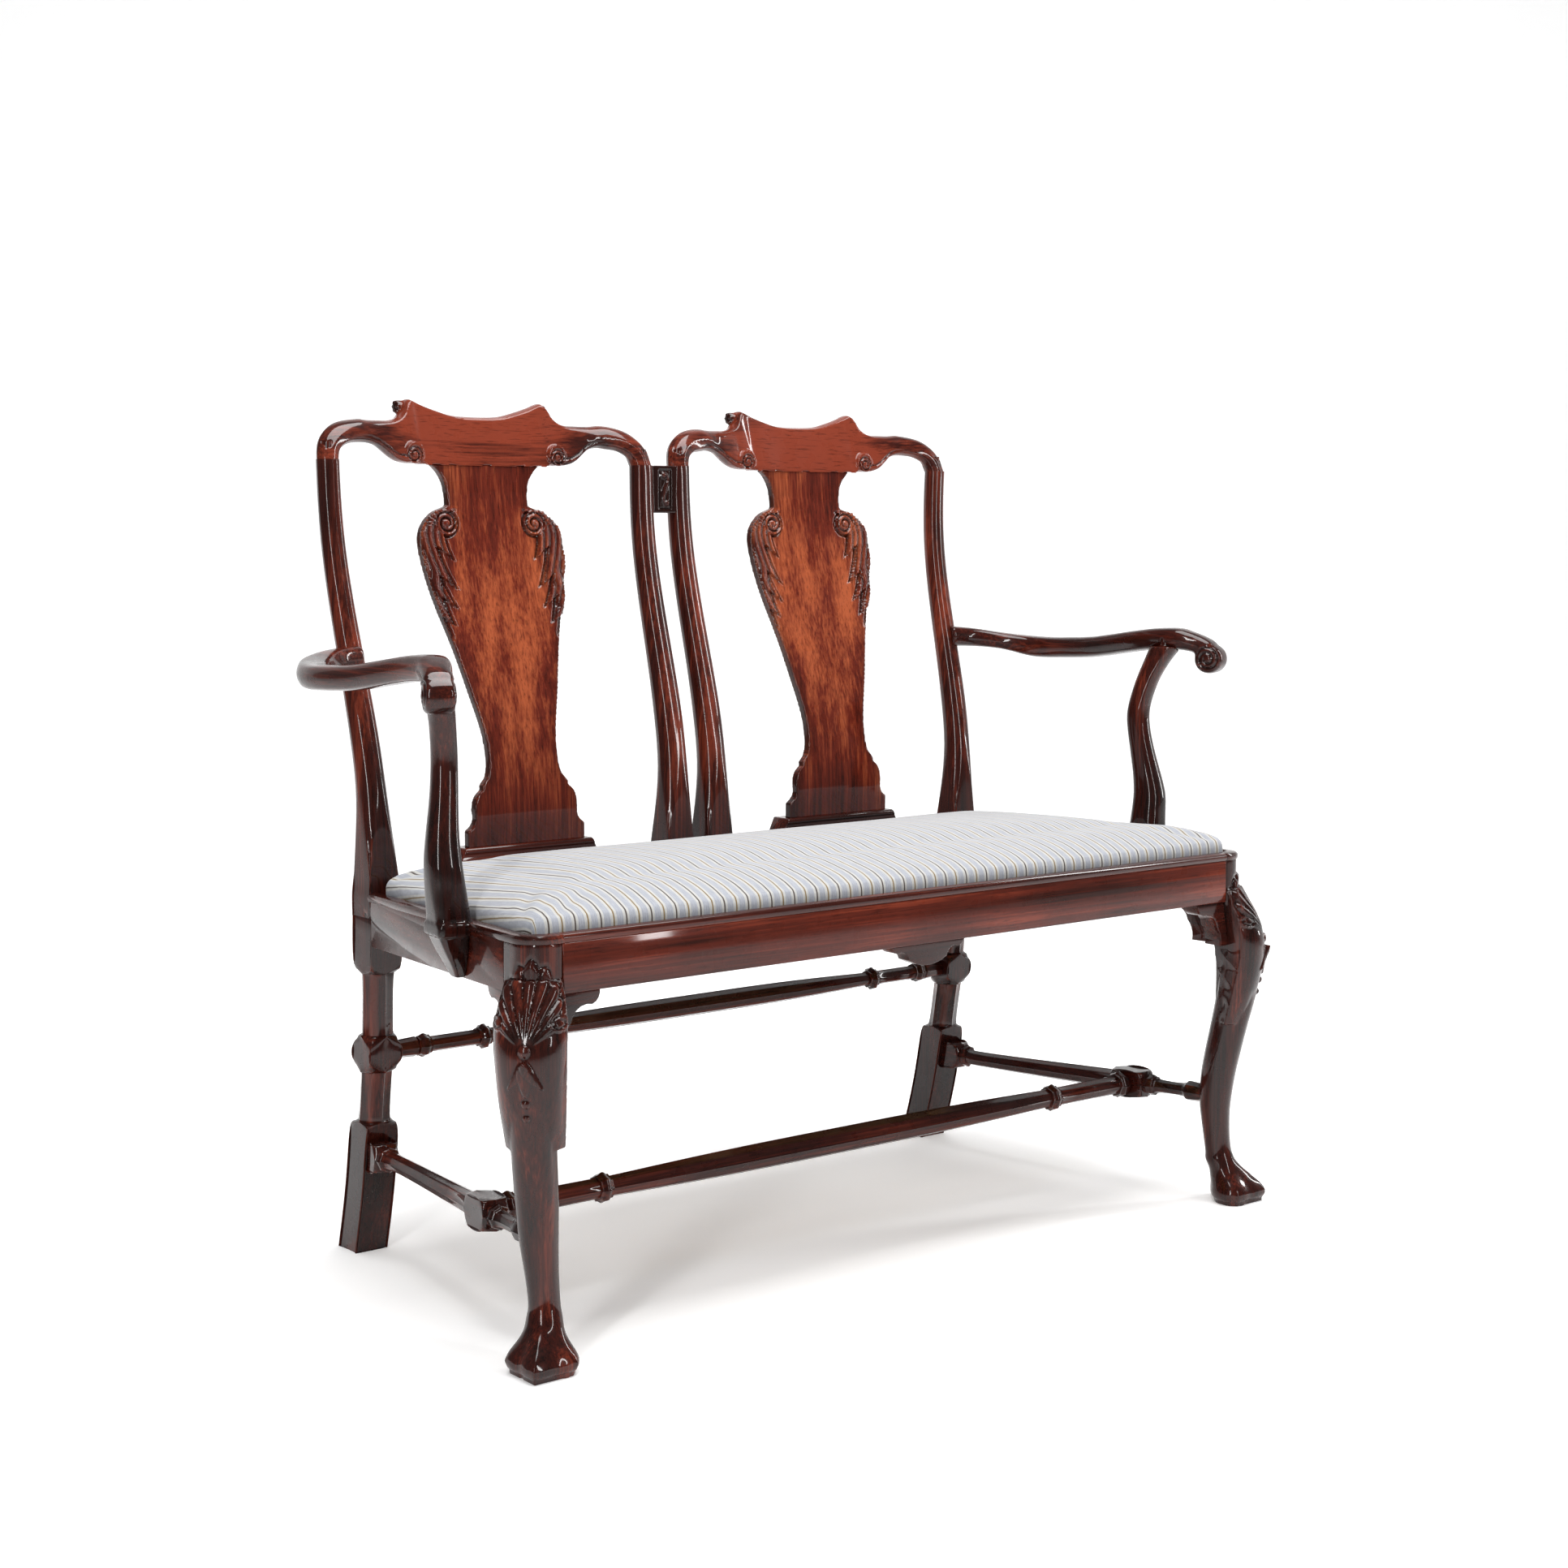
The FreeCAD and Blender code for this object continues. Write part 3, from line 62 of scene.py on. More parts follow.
# %% Colour and node helpers
def colour(code):
    parts = [int(code[i:i + 2], 16) / 255 for i in (1, 3, 5)]
    return [c / 12.92 if c <= 0.04045 else ((c + 0.055) / 1.055) ** 2.4 for c in parts] + [1.0]


def add(tree, kind, sockets=None, **settings):
    """Adds a node. A socket's value is a plain value, or a (node, output) pair to link from."""
    node = tree.nodes.new(kind)
    for name, value in settings.items():
        setattr(node, name, value)
    for name, value in (sockets or {}).items():
        if isinstance(value, tuple) and isinstance(value[0], bpy.types.Node):
            tree.links.new(value[0].outputs[value[1]], node.inputs[name])
        else:
            node.inputs[name].default_value = value
    return node


def set_stops(ramp, stops):
    """Writes the stops of a colour ramp: a place from 0 to 1 and a hex colour each."""
    elements = ramp.color_ramp.elements
    while len(elements) > 1:
        elements.remove(elements[-1])
    elements[0].position, elements[0].color = stops[0][0], colour(stops[0][1])
    for place, code in stops[1:]:
        elements.new(place).color = colour(code)


def new_material(name):
    material = bpy.data.materials.new(name)
    material.use_nodes = True
    tree = material.node_tree
    tree.nodes.clear()
    shader = add(tree, "ShaderNodeBsdfPrincipled")
    add(tree, "ShaderNodeOutputMaterial", {"Surface": (shader, "BSDF")})
    return material, tree, shader


print("helpers ready")


# %% [markdown]
# Mahogany is a red-brown hardwood. Its pores are long and fine, its colour lies in broad bands along the
# grain, and two centuries of wax and polish make it dark and glossy, with black wax left in every hollow.
# The pattern is noise stretched along the grain: patches about 95 mm wide, bands about 20 mm wide, streaks
# about 3 mm wide, and pores. Real pores are 0.2 mm wide, too fine to show, so they are drawn 0.8 mm wide.

# %% Mahogany
def mahogany(name, grain, dark, middle, light, figure=1.0):
    """Polished mahogany with its grain along one axis of the settee."""
    material, tree, shader = new_material(name)
    place = add(tree, "ShaderNodeTexCoord")

    def grain_noise(width_mm, length_mm, **sockets):
        scale = [1000.0 / width_mm] * 3
        scale["XYZ".index(grain)] = 1000.0 / length_mm
        along = add(tree, "ShaderNodeMapping", {"Vector": (place, "Object"), "Scale": scale})
        return add(tree, "ShaderNodeTexNoise", {"Vector": (along, "Vector"), "Scale": 1.0, **sockets})

    bands = grain_noise(20.0, 620.0, Detail=3.0, Distortion=0.1 * figure)
    streaks = grain_noise(3.2, 240.0, Detail=3.0, Roughness=0.6)
    patches = grain_noise(95.0, 210.0, Detail=2.0)
    pores = grain_noise(1.6, 22.0, Detail=1.0)

    # Painted shade: the wood is painted darker low down, under the seat, and paler high up, and "worn" marks
    # places rubbed paler by use.
    split = add(tree, "ShaderNodeSeparateXYZ", {"Vector": (place, "Object")})
    worn_place = add(tree, "ShaderNodeAttribute", attribute_name="worn")
    band_weight, streak_weight, patch_weight, wear_weight = 0.6, 0.55, 0.4 * figure, 0.22
    base = 0.5 - 0.5 * (band_weight + streak_weight + patch_weight)
    painted_shade_shift = 0.08
    tone = add(tree, "ShaderNodeMapRange", {
        "Value": (split, "Z"), "From Min": 0.36, "From Max": 0.64,
        "To Min": base - painted_shade_shift, "To Max": base + painted_shade_shift})
    weighted = (
        (bands, band_weight), (streaks, streak_weight), (patches, patch_weight), (worn_place, wear_weight))
    for source, weight in weighted:
        tone = add(tree, "ShaderNodeMath", {0: (source, "Fac"), 1: weight, 2: (tone, 0)},
                   operation="MULTIPLY_ADD")
    wood_colour = add(tree, "ShaderNodeValToRGB", {"Fac": (tone, 0)})
    set_stops(wood_colour, [(0.26, dark), (0.50, middle), (0.74, light)])
    pore = add(tree, "ShaderNodeMapRange", {
        "Value": (pores, "Fac"), "From Min": 0.30, "From Max": 0.42, "To Min": 0.6, "To Max": 1.0})
    pored = add(tree, "ShaderNodeMix", {"Factor": 1.0, "A": (wood_colour, "Color"), "B": (pore, "Result")},
                data_type="RGBA", blend_type="MULTIPLY")

    # Wax lies in the hollows of the carving: the carved pieces keep the depth of wax as "hollow".
    hollow = add(tree, "ShaderNodeAttribute", attribute_name="hollow")
    black_wax = colour("#120503")
    waxed = add(tree, "ShaderNodeMix", {"Factor": (hollow, "Fac"), "A": (pored, "Result"), "B": black_wax},
                data_type="RGBA")

    # Handling wears the polish off sharp edges, which show paler and redder.
    shape = add(tree, "ShaderNodeNewGeometry")
    edge = add(tree, "ShaderNodeMapRange", {
        "Value": (shape, "Pointiness"), "From Min": 0.53, "From Max": 0.64, "To Min": 0.0, "To Max": 0.35})
    worn = add(tree, "ShaderNodeMix", {
        "Factor": (edge, "Result"), "A": (waxed, "Result"), "B": colour(light)}, data_type="RGBA")
    tree.links.new(worn.outputs["Result"], shader.inputs["Base Color"])

    smear = add(tree, "ShaderNodeTexNoise", {"Vector": (place, "Object"), "Scale": 38.0, "Detail": 4.0})
    polish = add(tree, "ShaderNodeMapRange", {
        "Value": (smear, "Fac"), "From Min": 0.3, "From Max": 0.7, "To Min": 0.22, "To Max": 0.36})
    tree.links.new(polish.outputs["Result"], shader.inputs["Roughness"])
    relief = add(tree, "ShaderNodeBump", {"Height": (pores, "Fac"), "Strength": 0.12, "Distance": 0.0004})
    tree.links.new(relief.outputs["Normal"], shader.inputs["Normal"])
    shader.inputs["IOR"].default_value = 1.5
    shader.inputs["Specular IOR Level"].default_value = 0.05
    shader.inputs["Coat Weight"].default_value = 0.6
    shader.inputs["Coat Roughness"].default_value = 0.06
    return material


frame_tones = ("#150705", "#34110b", "#6e2d1d")
wood = {axis: mahogany("polished_mahogany_" + axis.lower(), axis, *frame_tones) for axis in "XYZ"}
crest_wood = mahogany("figured_mahogany_crest", "X", *frame_tones, 1.4)
rail_wood = mahogany("figured_mahogany_rail", "X", "#1c0906", "#4e1b11", "#863a26", 1.4)
splat_wood = mahogany("figured_mahogany_splat", "Z", "#260906", "#5b1f13", "#964a2c", 1.2)
print("mahogany:", [m.name for m in wood.values()], crest_wood.name, rail_wood.name, splat_wood.name)


# %% [markdown]
# Each wooden piece starts from the mesh of its CAD node, so that it stays where the node is.
# The mesh is welded, its triangles are joined, and a subdivision surface rounds the facets of turned and bent
# pieces. Edges sharper than 38 degrees are creased first, so that shoulders and mortised faces stay crisp.

# %% Copy a node's mesh
def node_mesh(node, flat=False):
    """A welded copy of a node's mesh. Flat pieces get large faces, shaped ones get quads."""
    work = bmesh.new()
    work.from_mesh(frame["nodes"][node].data)
    bmesh.ops.remove_doubles(work, verts=work.verts, dist=2e-5)
    if flat:
        bmesh.ops.dissolve_limit(work, angle_limit=math.radians(0.6), verts=work.verts, edges=work.edges)
    else:
        bmesh.ops.join_triangles(work, faces=work.faces, angle_face_threshold=math.radians(24),
                                 angle_shape_threshold=math.radians(130))
    work.verts.index_update()
    places = [v.co.copy() for v in work.verts]
    faces = [[v.index for v in f.verts] for f in work.faces]
    sharp = []
    for edge in work.edges:
        if len(edge.link_faces) != 2 or edge.calc_face_angle() > math.radians(38):
            sharp.append([v.index for v in edge.verts])
    work.free()
    mesh = bpy.data.meshes.new(node)
    mesh.from_pydata(places, [], faces)
    pairs = {tuple(sorted(e.vertices)): e.index for e in mesh.edges}
    crease = mesh.attributes.new("crease_edge", "FLOAT", "EDGE")
    for pair in sharp:
        crease.data[pairs[tuple(sorted(pair))]].value = 1.0
    return mesh


def new_piece(name, mesh):
    piece = bpy.data.objects.new(name, mesh)
    bpy.context.scene.collection.objects.link(piece)
    return piece


def apply_modifiers(piece):
    bpy.context.view_layer.update()
    graph = bpy.context.evaluated_depsgraph_get()
    made = bpy.data.meshes.new_from_object(piece.evaluated_get(graph))
    piece.modifiers.clear()
    piece.data = made


def seat(piece, nodes, material):
    """Gives a finished piece its material and puts it in the place of its CAD nodes."""
    piece.data.materials.clear()
    piece.data.materials.append(material)
    piece.data.polygons.foreach_set("use_smooth", [True] * len(piece.data.polygons))
    piece.data.set_sharp_from_angle(angle=math.radians(42))
    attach(piece, body_of_node[nodes[0]])
    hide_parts(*nodes)
    return piece


print("piece helpers ready")


# %% [markdown]
# A subdivision surface pulls a mesh inwards. To keep the true size, the corners are moved out three times by
# what they lost, so that the smooth surface passes through the corners of the CAD facets again.

# %% Round and ease the pieces
def point_places(mesh):
    places = np.empty(len(mesh.vertices) * 3)
    mesh.vertices.foreach_get("co", places)
    return places.reshape(-1, 3)


def point_normals(mesh):
    normals = np.empty(len(mesh.vertices) * 3)
    mesh.vertex_normals.foreach_get("vector", normals)
    return normals.reshape(-1, 3)


def put_points(mesh, places):
    mesh.vertices.foreach_set("co", places.ravel())
    mesh.update()


def rounded(piece, levels):
    """Adds a subdivision surface that still passes through the corners of the CAD facets."""
    rounding = piece.modifiers.new("rounding", "SUBSURF")
    rounding.levels = rounding.render_levels = 1
    wanted = point_places(piece.data)
    cage = wanted.copy()
    largest_move = 0.003
    for _ in range(3):
        bpy.context.view_layer.update()
        graph = bpy.context.evaluated_depsgraph_get()
        smooth = point_places(piece.evaluated_get(graph).data)[:len(cage)]
        cage += np.clip(wanted - smooth, -largest_move, largest_move)
        put_points(piece.data, cage)
    rounding.levels = rounding.render_levels = levels


def ease_edges(piece, width, segments, degrees):
    """Adds a small bevel to the edges that are sharper than an angle."""
    eased = piece.modifiers.new("eased_edges", "BEVEL")
    eased.width, eased.segments = width, segments
    eased.limit_method, eased.angle_limit = "ANGLE", math.radians(degrees)


def shaped(node, material):
    """A bent or turned piece: rounded by a subdivision surface, with its last sharp edges eased."""
    piece = new_piece(node + "_wood", node_mesh(node))
    rounded(piece, 2)
    ease_edges(piece, 0.0007, 2, 42)
    apply_modifiers(piece)
    return seat(piece, [node], material)


def planed(node, material, ease=0.0013):
    """A straight piece from the plane: flat faces and hand-eased edges."""
    piece = new_piece(node + "_wood", node_mesh(node, flat=True))
    ease_edges(piece, ease, 3, 30)
    apply_modifiers(piece)
    return seat(piece, [node], material)


print("rounding helpers ready")


# %% [markdown]
# The posts and stretchers are sawn, bent and turned pieces with no carving. They only need rounding.

# %% Posts and stretchers
for side in way_of:
    shaped("rear_leg_stile_" + side, wood["Z"])
    shaped("inner_stile_" + side, wood["Z"])
    shaped("side_stretcher_" + side, wood["Y"])
shaped("cross_stretcher", wood["X"])
shaped("rear_stretcher", wood["X"])
print("posts and stretchers rounded")


# %% [markdown]
# Rails, lips and shoes are straight lengths from the plane. A small bevel with three segments catches the
# light along each edge, as an edge does that was eased with a scraper and then waxed for many years.

# %% Rails, lips and shoes
lip_ease = 0.0006
for side in way_of:
    planed("side_seat_rail_" + side, wood["Y"])
    planed("seat_lip_side_" + side, wood["Y"], ease=lip_ease)
    planed("splat_shoe_" + side, wood["X"])
    planed("knee_bracket_front_" + side, wood["X"])
    planed("knee_bracket_side_" + side, wood["Y"])
planed("front_seat_rail", rail_wood)
planed("rear_seat_rail", wood["X"])
planed("seat_lip_front", wood["X"], ease=lip_ease)
planed("apron_drop", wood["X"])
print("rails, lips, shoes and brackets planed")


# %% [markdown]
# Carved pieces need many small faces where the chisel went. A voxel remesh gives an even skin, and a little
# smoothing rounds its edges as waxing does. The crest's ends are first let 3 mm into the posts, so that the
# joint stays a fine line. From here on, the carving's own sizes are in mm.

# %% Blanks for the carved pieces
back_middle = 247.5         # from the settee's middle to the middle of each chair back
post_top = 925.0            # height of the joint between a post and its crest
fine_voxel = 0.0014
arm_voxel = 0.0016
mm = 0.001


def let_in_ends(piece):
    """Sinks both end faces of a crest 3 mm into its posts and draws them in a little."""
    places = point_places(piece.data)
    middle = math.copysign(back_middle * mm, places[:, 0].mean())
    at_joint = np.abs(places[:, 2] - post_top * mm) < 0.0006
    for end in (-1, 1):
        cap = at_joint & ((places[:, 0] - middle) * end > 0.19)
        hub = places[cap].mean(0)
        places[cap, :2] = hub[:2] + (places[cap, :2] - hub[:2]) * 0.985
        places[cap, 2] -= 0.003
    put_points(piece.data, places)


def add_voxel_skin(piece, voxel):
    skin = piece.modifiers.new("even_skin", "REMESH")
    skin.mode = "VOXEL"
    skin.voxel_size = voxel


def carved_blank(node, voxel, rounds=3):
    piece = new_piece(node + "_carved", node_mesh(node))
    if node.startswith("crest"):
        let_in_ends(piece)
    rounded(piece, 2)
    add_voxel_skin(piece, voxel)
    waxed = piece.modifiers.new("waxed", "SMOOTH")
    waxed.factor, waxed.iterations = 0.5, rounds
    apply_modifiers(piece)
    return piece


def carve(piece, relief, wax):
    """Moves each point along its normal by the relief and keeps the wax depth as "hollow"."""
    mesh = piece.data
    put_points(mesh, point_places(mesh) + point_normals(mesh) * relief[:, None] * mm)
    layer = mesh.attributes.new("hollow", "FLOAT", "POINT")
    layer.data.foreach_set("value", np.clip(wax, 0, 1))


def mark_wear(piece, wear):
    """Keeps a wear value for each point: above 0 rubbed paler, below 0 darkened by hands and wax."""
    layer = piece.data.attributes.new("worn", "FLOAT", "POINT")
    layer.data.foreach_set("value", np.zeros(len(piece.data.vertices)) + wear)


print("blanks ready to cut")


# %% [markdown]
# The cuts are drawn with a few smooth curves: a step that rises, a fade that falls, a bell that is a groove
# or a ridge, a dome that is a bead, and a spiral groove for the volutes.

# %% Curves for the carving
def step(value, start, end):
    """Rises smoothly from 0 at start to 1 at end."""
    share = np.clip((value - start) / (end - start), 0, 1)
    return share * share * (3 - 2 * share)


def fade(value, start, end):
    """Falls smoothly from 1 at start to 0 at end."""
    return step(-value, -end, -start)


def bell(value, width):
    """Is 1 at zero and falls off to almost nothing at two widths."""
    return np.exp(-(value / width) ** 2)


def dome(value):
    """Half a circle: 1 in the middle, 0 from a value of 1 outwards."""
    return np.sqrt(np.clip(1 - value ** 2, 0, 1))


def deepest(*layers):
    return np.maximum.reduce(layers)


def spiral(across, up, start, pitch, reach):
    """Depth from 0 to 1 of a groove that winds inwards from the radius start, out to the radius reach."""
    radius = np.hypot(across, up)
    turns = (radius - start) / pitch + np.mod(np.arctan2(up, across), 2 * math.pi) / (2 * math.pi)
    near = np.abs(turns - np.round(turns)) * pitch
    inside = step(radius, pitch * 0.45, pitch * 0.75) * fade(radius, reach * 0.96, reach * 1.05)
    return bell(near, pitch * 0.25) * inside


print("carving curves ready")


# %% [markdown]
# Each splat has an acanthus leaf down both shoulders. It hangs from a volute, follows the outer edge of the
# vase, and ends inwards in serrated lobes. The leaf stands 2 to 4 mm above the ground, its veins run from the
# outer edge down to the tips of the lobes, and the ground is cut away in a dark line round it.

# %% Splats
splat_top, splat_height = 922.5, 448.5
splat_lean = 5.0            # the foot of the splat is this much nearer the settee's middle than its top
splat_volute_out, splat_volute_z = 61.5, 852.5
volute_radius = 14.5
vein_pitch = 8.6
# Each lobe of the leaf: heights of its top and tip, and how far it reaches in at the top and at the tip.
leaf_lobes = ((900, 824, 20, 38), (824, 785, 21, 32), (785, 754, 15, 23), (754, 724, 9, 10))


def leaf_edge(z):
    """How far the leaf reaches in from the splat's edge: a saw of four lobes."""
    reach = np.zeros_like(z)
    for top, tip, at_top, at_tip in leaf_lobes:
        share = np.clip((top - z) / (top - tip), 0, 1)
        reach = np.where((z <= top) & (z > tip), at_top + (at_tip - at_top) * share ** 1.5, reach)
    return reach


def half_widths(out, z):
    """Half the splat's width at each point's height, found in rows of 4 mm."""
    half = np.zeros_like(z)
    rows = np.round(z / 4).astype(int)
    for row in np.unique(rows):
        half[rows == row] = out[rows == row].max()
    return half


def carve_splat(side):
    piece = carved_blank("splat_" + side, fine_voxel)
    places = point_places(piece.data) / mm
    x, z = places[:, 0] * way_of[side], places[:, 2]
    out = np.abs(x - back_middle + splat_lean * (splat_top - z) / splat_height)
    front = step(-point_normals(piece.data)[:, 1], 0.35, 0.75)
    half = half_widths(out, z)
    edge = half - out

    # The leaf, with its veins and the dark line round it
    hang = z + 0.85 * (edge - 22.0)
    inner = leaf_edge(hang) - edge
    below_volute = fade(z, 864, 872)
    leaf = step(inner, -0.4, 1.4) * below_volute * step(z, 716, 724)
    vein_place = edge + 0.2 * (z - 811) + 9 * fade(hang, 760, 790)
    veins = 0.5 + 0.5 * np.cos(2 * math.pi * vein_place / vein_pitch)
    line = bell(inner + 2.2, 2.4) * below_volute * step(z, 712, 722)

    # The volute that it hangs from
    across, up = out - splat_volute_out, z - splat_volute_z
    radius = np.hypot(across, up)
    disc = fade(radius, 13.5, 15.5)
    groove = spiral(across, up, volute_radius, 6.6, volute_radius)
    ring = bell(radius - 16.0, 1.5) * fade(across, 7, 11) * (1 - leaf)
    volute = 3.4 - 3.4 * groove + 1.2 * fade(radius, 2.0, 4.0)
    relief = leaf * (1.9 + 2.1 * veins) - 1.8 * line
    relief = (relief * (1 - disc) + disc * volute - 1.6 * ring) * front

    # Wax in the cuts, and darker along the edge and at the foot
    cuts = np.maximum(line * 0.95, leaf * (1 - veins) ** 1.5 * 0.8) * (1 - disc)
    cuts = deepest(cuts, disc * groove, ring * 0.9) * front
    rim = np.maximum(fade(edge, 0.6, 2.4) * 0.75, fade(edge, 2, 17) * 0.3) * step(half, 30, 40)
    foot = fade(z, 485, 530) * 0.35
    carve(piece, relief, deepest(cuts, foot, rim))
    mark_wear(piece, 0.45 * step(edge, 6, 40) * fade(np.abs(z - 670), 60, 200) - 0.3)
    seat(piece, ["splat_" + side], splat_wood)
    print(piece.name, "relief", round(float(relief.min()), 2), "to", round(float(relief.max()), 2), "mm")


for side in way_of:
    carve_splat(side)


# %% [markdown]
# The crest is a bent bar whose arms end in two small volutes. A fillet follows the underside of each arm into
# its volute, and a rosette of six petals sits behind each ear.

# %% Crests
# Underside of a crest's arm: distance out from the back's middle, and height.
crest_underside = (
    (96, 923), (107, 923.5), (120, 925.6), (129, 930), (137, 936), (146, 942), (156, 945.4), (172, 946.5))
fillet_wide = 6.8
crest_volute_out, crest_volute_z = 100.5, 932.8
rosette_y, rosette_z, rosette_radius = 292, 990, 9.5


def carve_crest(side):
    piece = carved_blank("crest_rail_" + side, fine_voxel)
    places = point_places(piece.data) / mm
    x, y, z = places[:, 0] * way_of[side] - back_middle, places[:, 1], places[:, 2]
    out = np.abs(x)
    front = step(-point_normals(piece.data)[:, 1], 0.2, 0.6)
    top_of_fillet = np.interp(out, *np.transpose(crest_underside)) + fillet_wide
    line = bell(z - top_of_fillet, 1.2) * step(out, 106, 110) * fade(out, 140, 172)
    fillet = step(top_of_fillet - z, 0, 1.5) * step(out, 104, 110) * fade(out, 140, 172)
    across, up = out - crest_volute_out, z - crest_volute_z
    disc = fade(np.hypot(across, up), 9.2, 10.4)
    groove = spiral(across, -up, 8.0, 4.5, 10.6)
    relief = 1.3 * np.maximum(fillet, disc) - 1.3 * line - 2.4 * groove
    wax = np.maximum(line * 0.85, groove) * front

    # The rosette stands out to the side, away from the middle of the back.
    radius = np.hypot(y - rosette_y, z - rosette_z)
    around = np.arctan2(z - rosette_z, y - rosette_y)
    rosette = step(out, 95.5, 98.5) * fade(radius, 7.0, rosette_radius)
    petals = 0.5 + 0.5 * np.cos(6 * around) * step(radius, 1.5, 3.5)
    swell = rosette * (5.0 * dome(radius / rosette_radius) + 1.5 * petals)
    carve(piece, relief * front, np.maximum(wax, rosette * 0.92))
    places = point_places(piece.data)
    places[:, 0] += np.sign(places[:, 0] - back_middle * mm * way_of[side]) * swell * mm
    put_points(piece.data, places)
    mark_wear(piece, fade(out, 75, 150) * 0.95)
    seat(piece, ["crest_rail_" + side], crest_wood)
    print(piece.name, len(places), "points")


for side in way_of:
    carve_crest(side)


# %% [markdown]
# A shell of nine flutes is carved on each knee. Its flutes fan out from a low point over the rounded knee and
# lap over the corner post, and the lowest curl into small volutes. A bead, a husk of three petals and two
# smaller beads hang below it.

# %% Front legs
knee_x, knee_y, shell_foot = 504.0, -242.3, 336.0
flute_degrees = 12.0
# Length of the shell's flutes, by the angle above the horizontal.
shell_tips = ((30, 34), (39, 38), (48, 47), (58.5, 57), (69, 67), (79, 77), (90, 83))
curl_out, curl_up = 31.0, 24.0
beads = ((0.0, 6.0), (-54.0, 4.2), (-69.0, 3.6))            # height from the shell's foot, and radius
husk = ((0.0, 36.0, 7.5), (0.5, 29.0, 6.5), (-0.5, 29.0, 6.5))     # lean, length and half width of a petal
husk_top = -10.0


def carve_knee(side):
    piece = carved_blank("front_leg_" + side, fine_voxel)
    places = point_places(piece.data) / mm
    normals = point_normals(piece.data)
    # The shell faces outwards along the diagonal of the corner.
    across = (places[:, 0] * way_of[side] - knee_x + places[:, 1] - knee_y) * math.sqrt(0.5)
    up = places[:, 2] - shell_foot
    front = step((normals[:, 0] * way_of[side] - normals[:, 1]) * math.sqrt(0.5), 0.15, 0.5)

    radius = np.hypot(across, up)
    angle = np.degrees(np.arctan2(up, np.abs(across)))
    tip = np.interp(angle, *np.transpose(shell_tips))
    flute = (angle - 90.0) / flute_degrees
    round_flute = np.clip(np.cos(math.pi * (flute - np.round(flute))), 0, 1)
    reach = radius / (tip * (1 - 0.07 * (1 - round_flute)))
    shell = fade(reach, 0.94, 1.02) * step(radius, 6, 16) * step(angle, 31, 36)
    ridge = np.sqrt(round_flute) * step(radius, 8, 40)
    border = bell((reach - 1.035) * tip, 1.8) * step(angle, 30, 36)
    relief = shell * (0.8 + 3.2 * ridge) - 1.2 * border
    wax = shell * (1 - ridge) ** 1.3 * step(radius, 6, 14) + border * 0.9

    curl_across, curl_height = np.abs(across) - curl_out, up - curl_up
    disc = fade(np.hypot(curl_across, curl_height), 7.0, 8.5)
    groove = spiral(curl_across, curl_height, 8.0, 4.4, 8.0)
    relief = relief * (1 - disc) + disc * (2.4 - 1.8 * groove)
    wax = wax * (1 - disc) + disc * groove * 0.9

    for bead_up, size in beads:
        from_middle = np.hypot(across, up - bead_up) / size
        relief = relief + 2.6 * dome(from_middle)
        wax = np.maximum(wax, bell(from_middle - 1.2, 0.25) * 0.7)
    for lean, length, wide in husk:
        share = (husk_top - up) / length
        off_line = np.abs(across - lean * length * share * (0.5 + 0.7 * share))
        span = wide * np.sqrt(np.clip(share * (1 - share) * 4, 0, 1)) * (1.15 - 0.5 * np.clip(share, 0, 1))
        petal = np.clip(1 - off_line / np.maximum(span, 0.2), 0, 1) * ((share > 0) & (share < 1))
        relief = relief + 2.4 * np.sqrt(petal)
        rim = bell(off_line - span - 0.8, 1.0) * ((share > 0.03) & (share < 1))
        wax = np.maximum(wax, rim * 0.6)

    carve(piece, relief * front, wax * front)
    seat(piece, ["front_leg_" + side], wood["Z"])
    print(piece.name, "shell relief up to", round(float((relief * front).max()), 2), "mm")


for side in way_of:
    carve_knee(side)


# %% [markdown]
# The block between the two backs has a bordered face with a leaf scroll. The ends of the arm scrolls have a
# spiral. Arms and arm supports were shaped with rasp and scraper, so their blanks are smoothed more than the
# others, and hands have darkened them.

# %% Link block
link_middle_z = 895.5
border_half_x, border_half_z = 8.5, 24.0


def round_spot(across, up, size):
    return np.exp(-(np.hypot(across, up) / size) ** 4)


def carve_link():
    piece = carved_blank("stile_link_block", 0.0011, 2)
    places = point_places(piece.data) / mm
    front = step(-point_normals(piece.data)[:, 1], 0.4, 0.8)
    x, z = places[:, 0], places[:, 2] - link_middle_z
    border = bell(np.maximum(np.abs(z) - border_half_z, np.abs(x) - border_half_x), 1.0)
    wave = x - 4.0 * np.sin(z / 17.0 * math.pi * 0.5) * fade(np.abs(z), 12, 20)
    stem = bell(wave, 1.6 + 1.2 * np.cos(z / 8.0) ** 2) * fade(np.abs(z), 18, 21)
    leaf = deepest(stem, round_spot(x + 2.5, z - 17.5, 3.6), round_spot(x - 2.5, z + 17.5, 3.4))
    relief = 2.8 * leaf - 1.3 * border
    carve(piece, relief * front, 0.2 + np.maximum((1 - leaf) * 0.6, border * 0.8) * front)
    seat(piece, ["stile_link_block"], wood["Z"])
    print(piece.name, "relief up to", round(float((relief * front).max()), 2), "mm")


carve_link()

# %% Arms and their supports
scroll_x, scroll_y, scroll_z = 0.570, -0.1708, 0.680
scroll_radius = 0.05


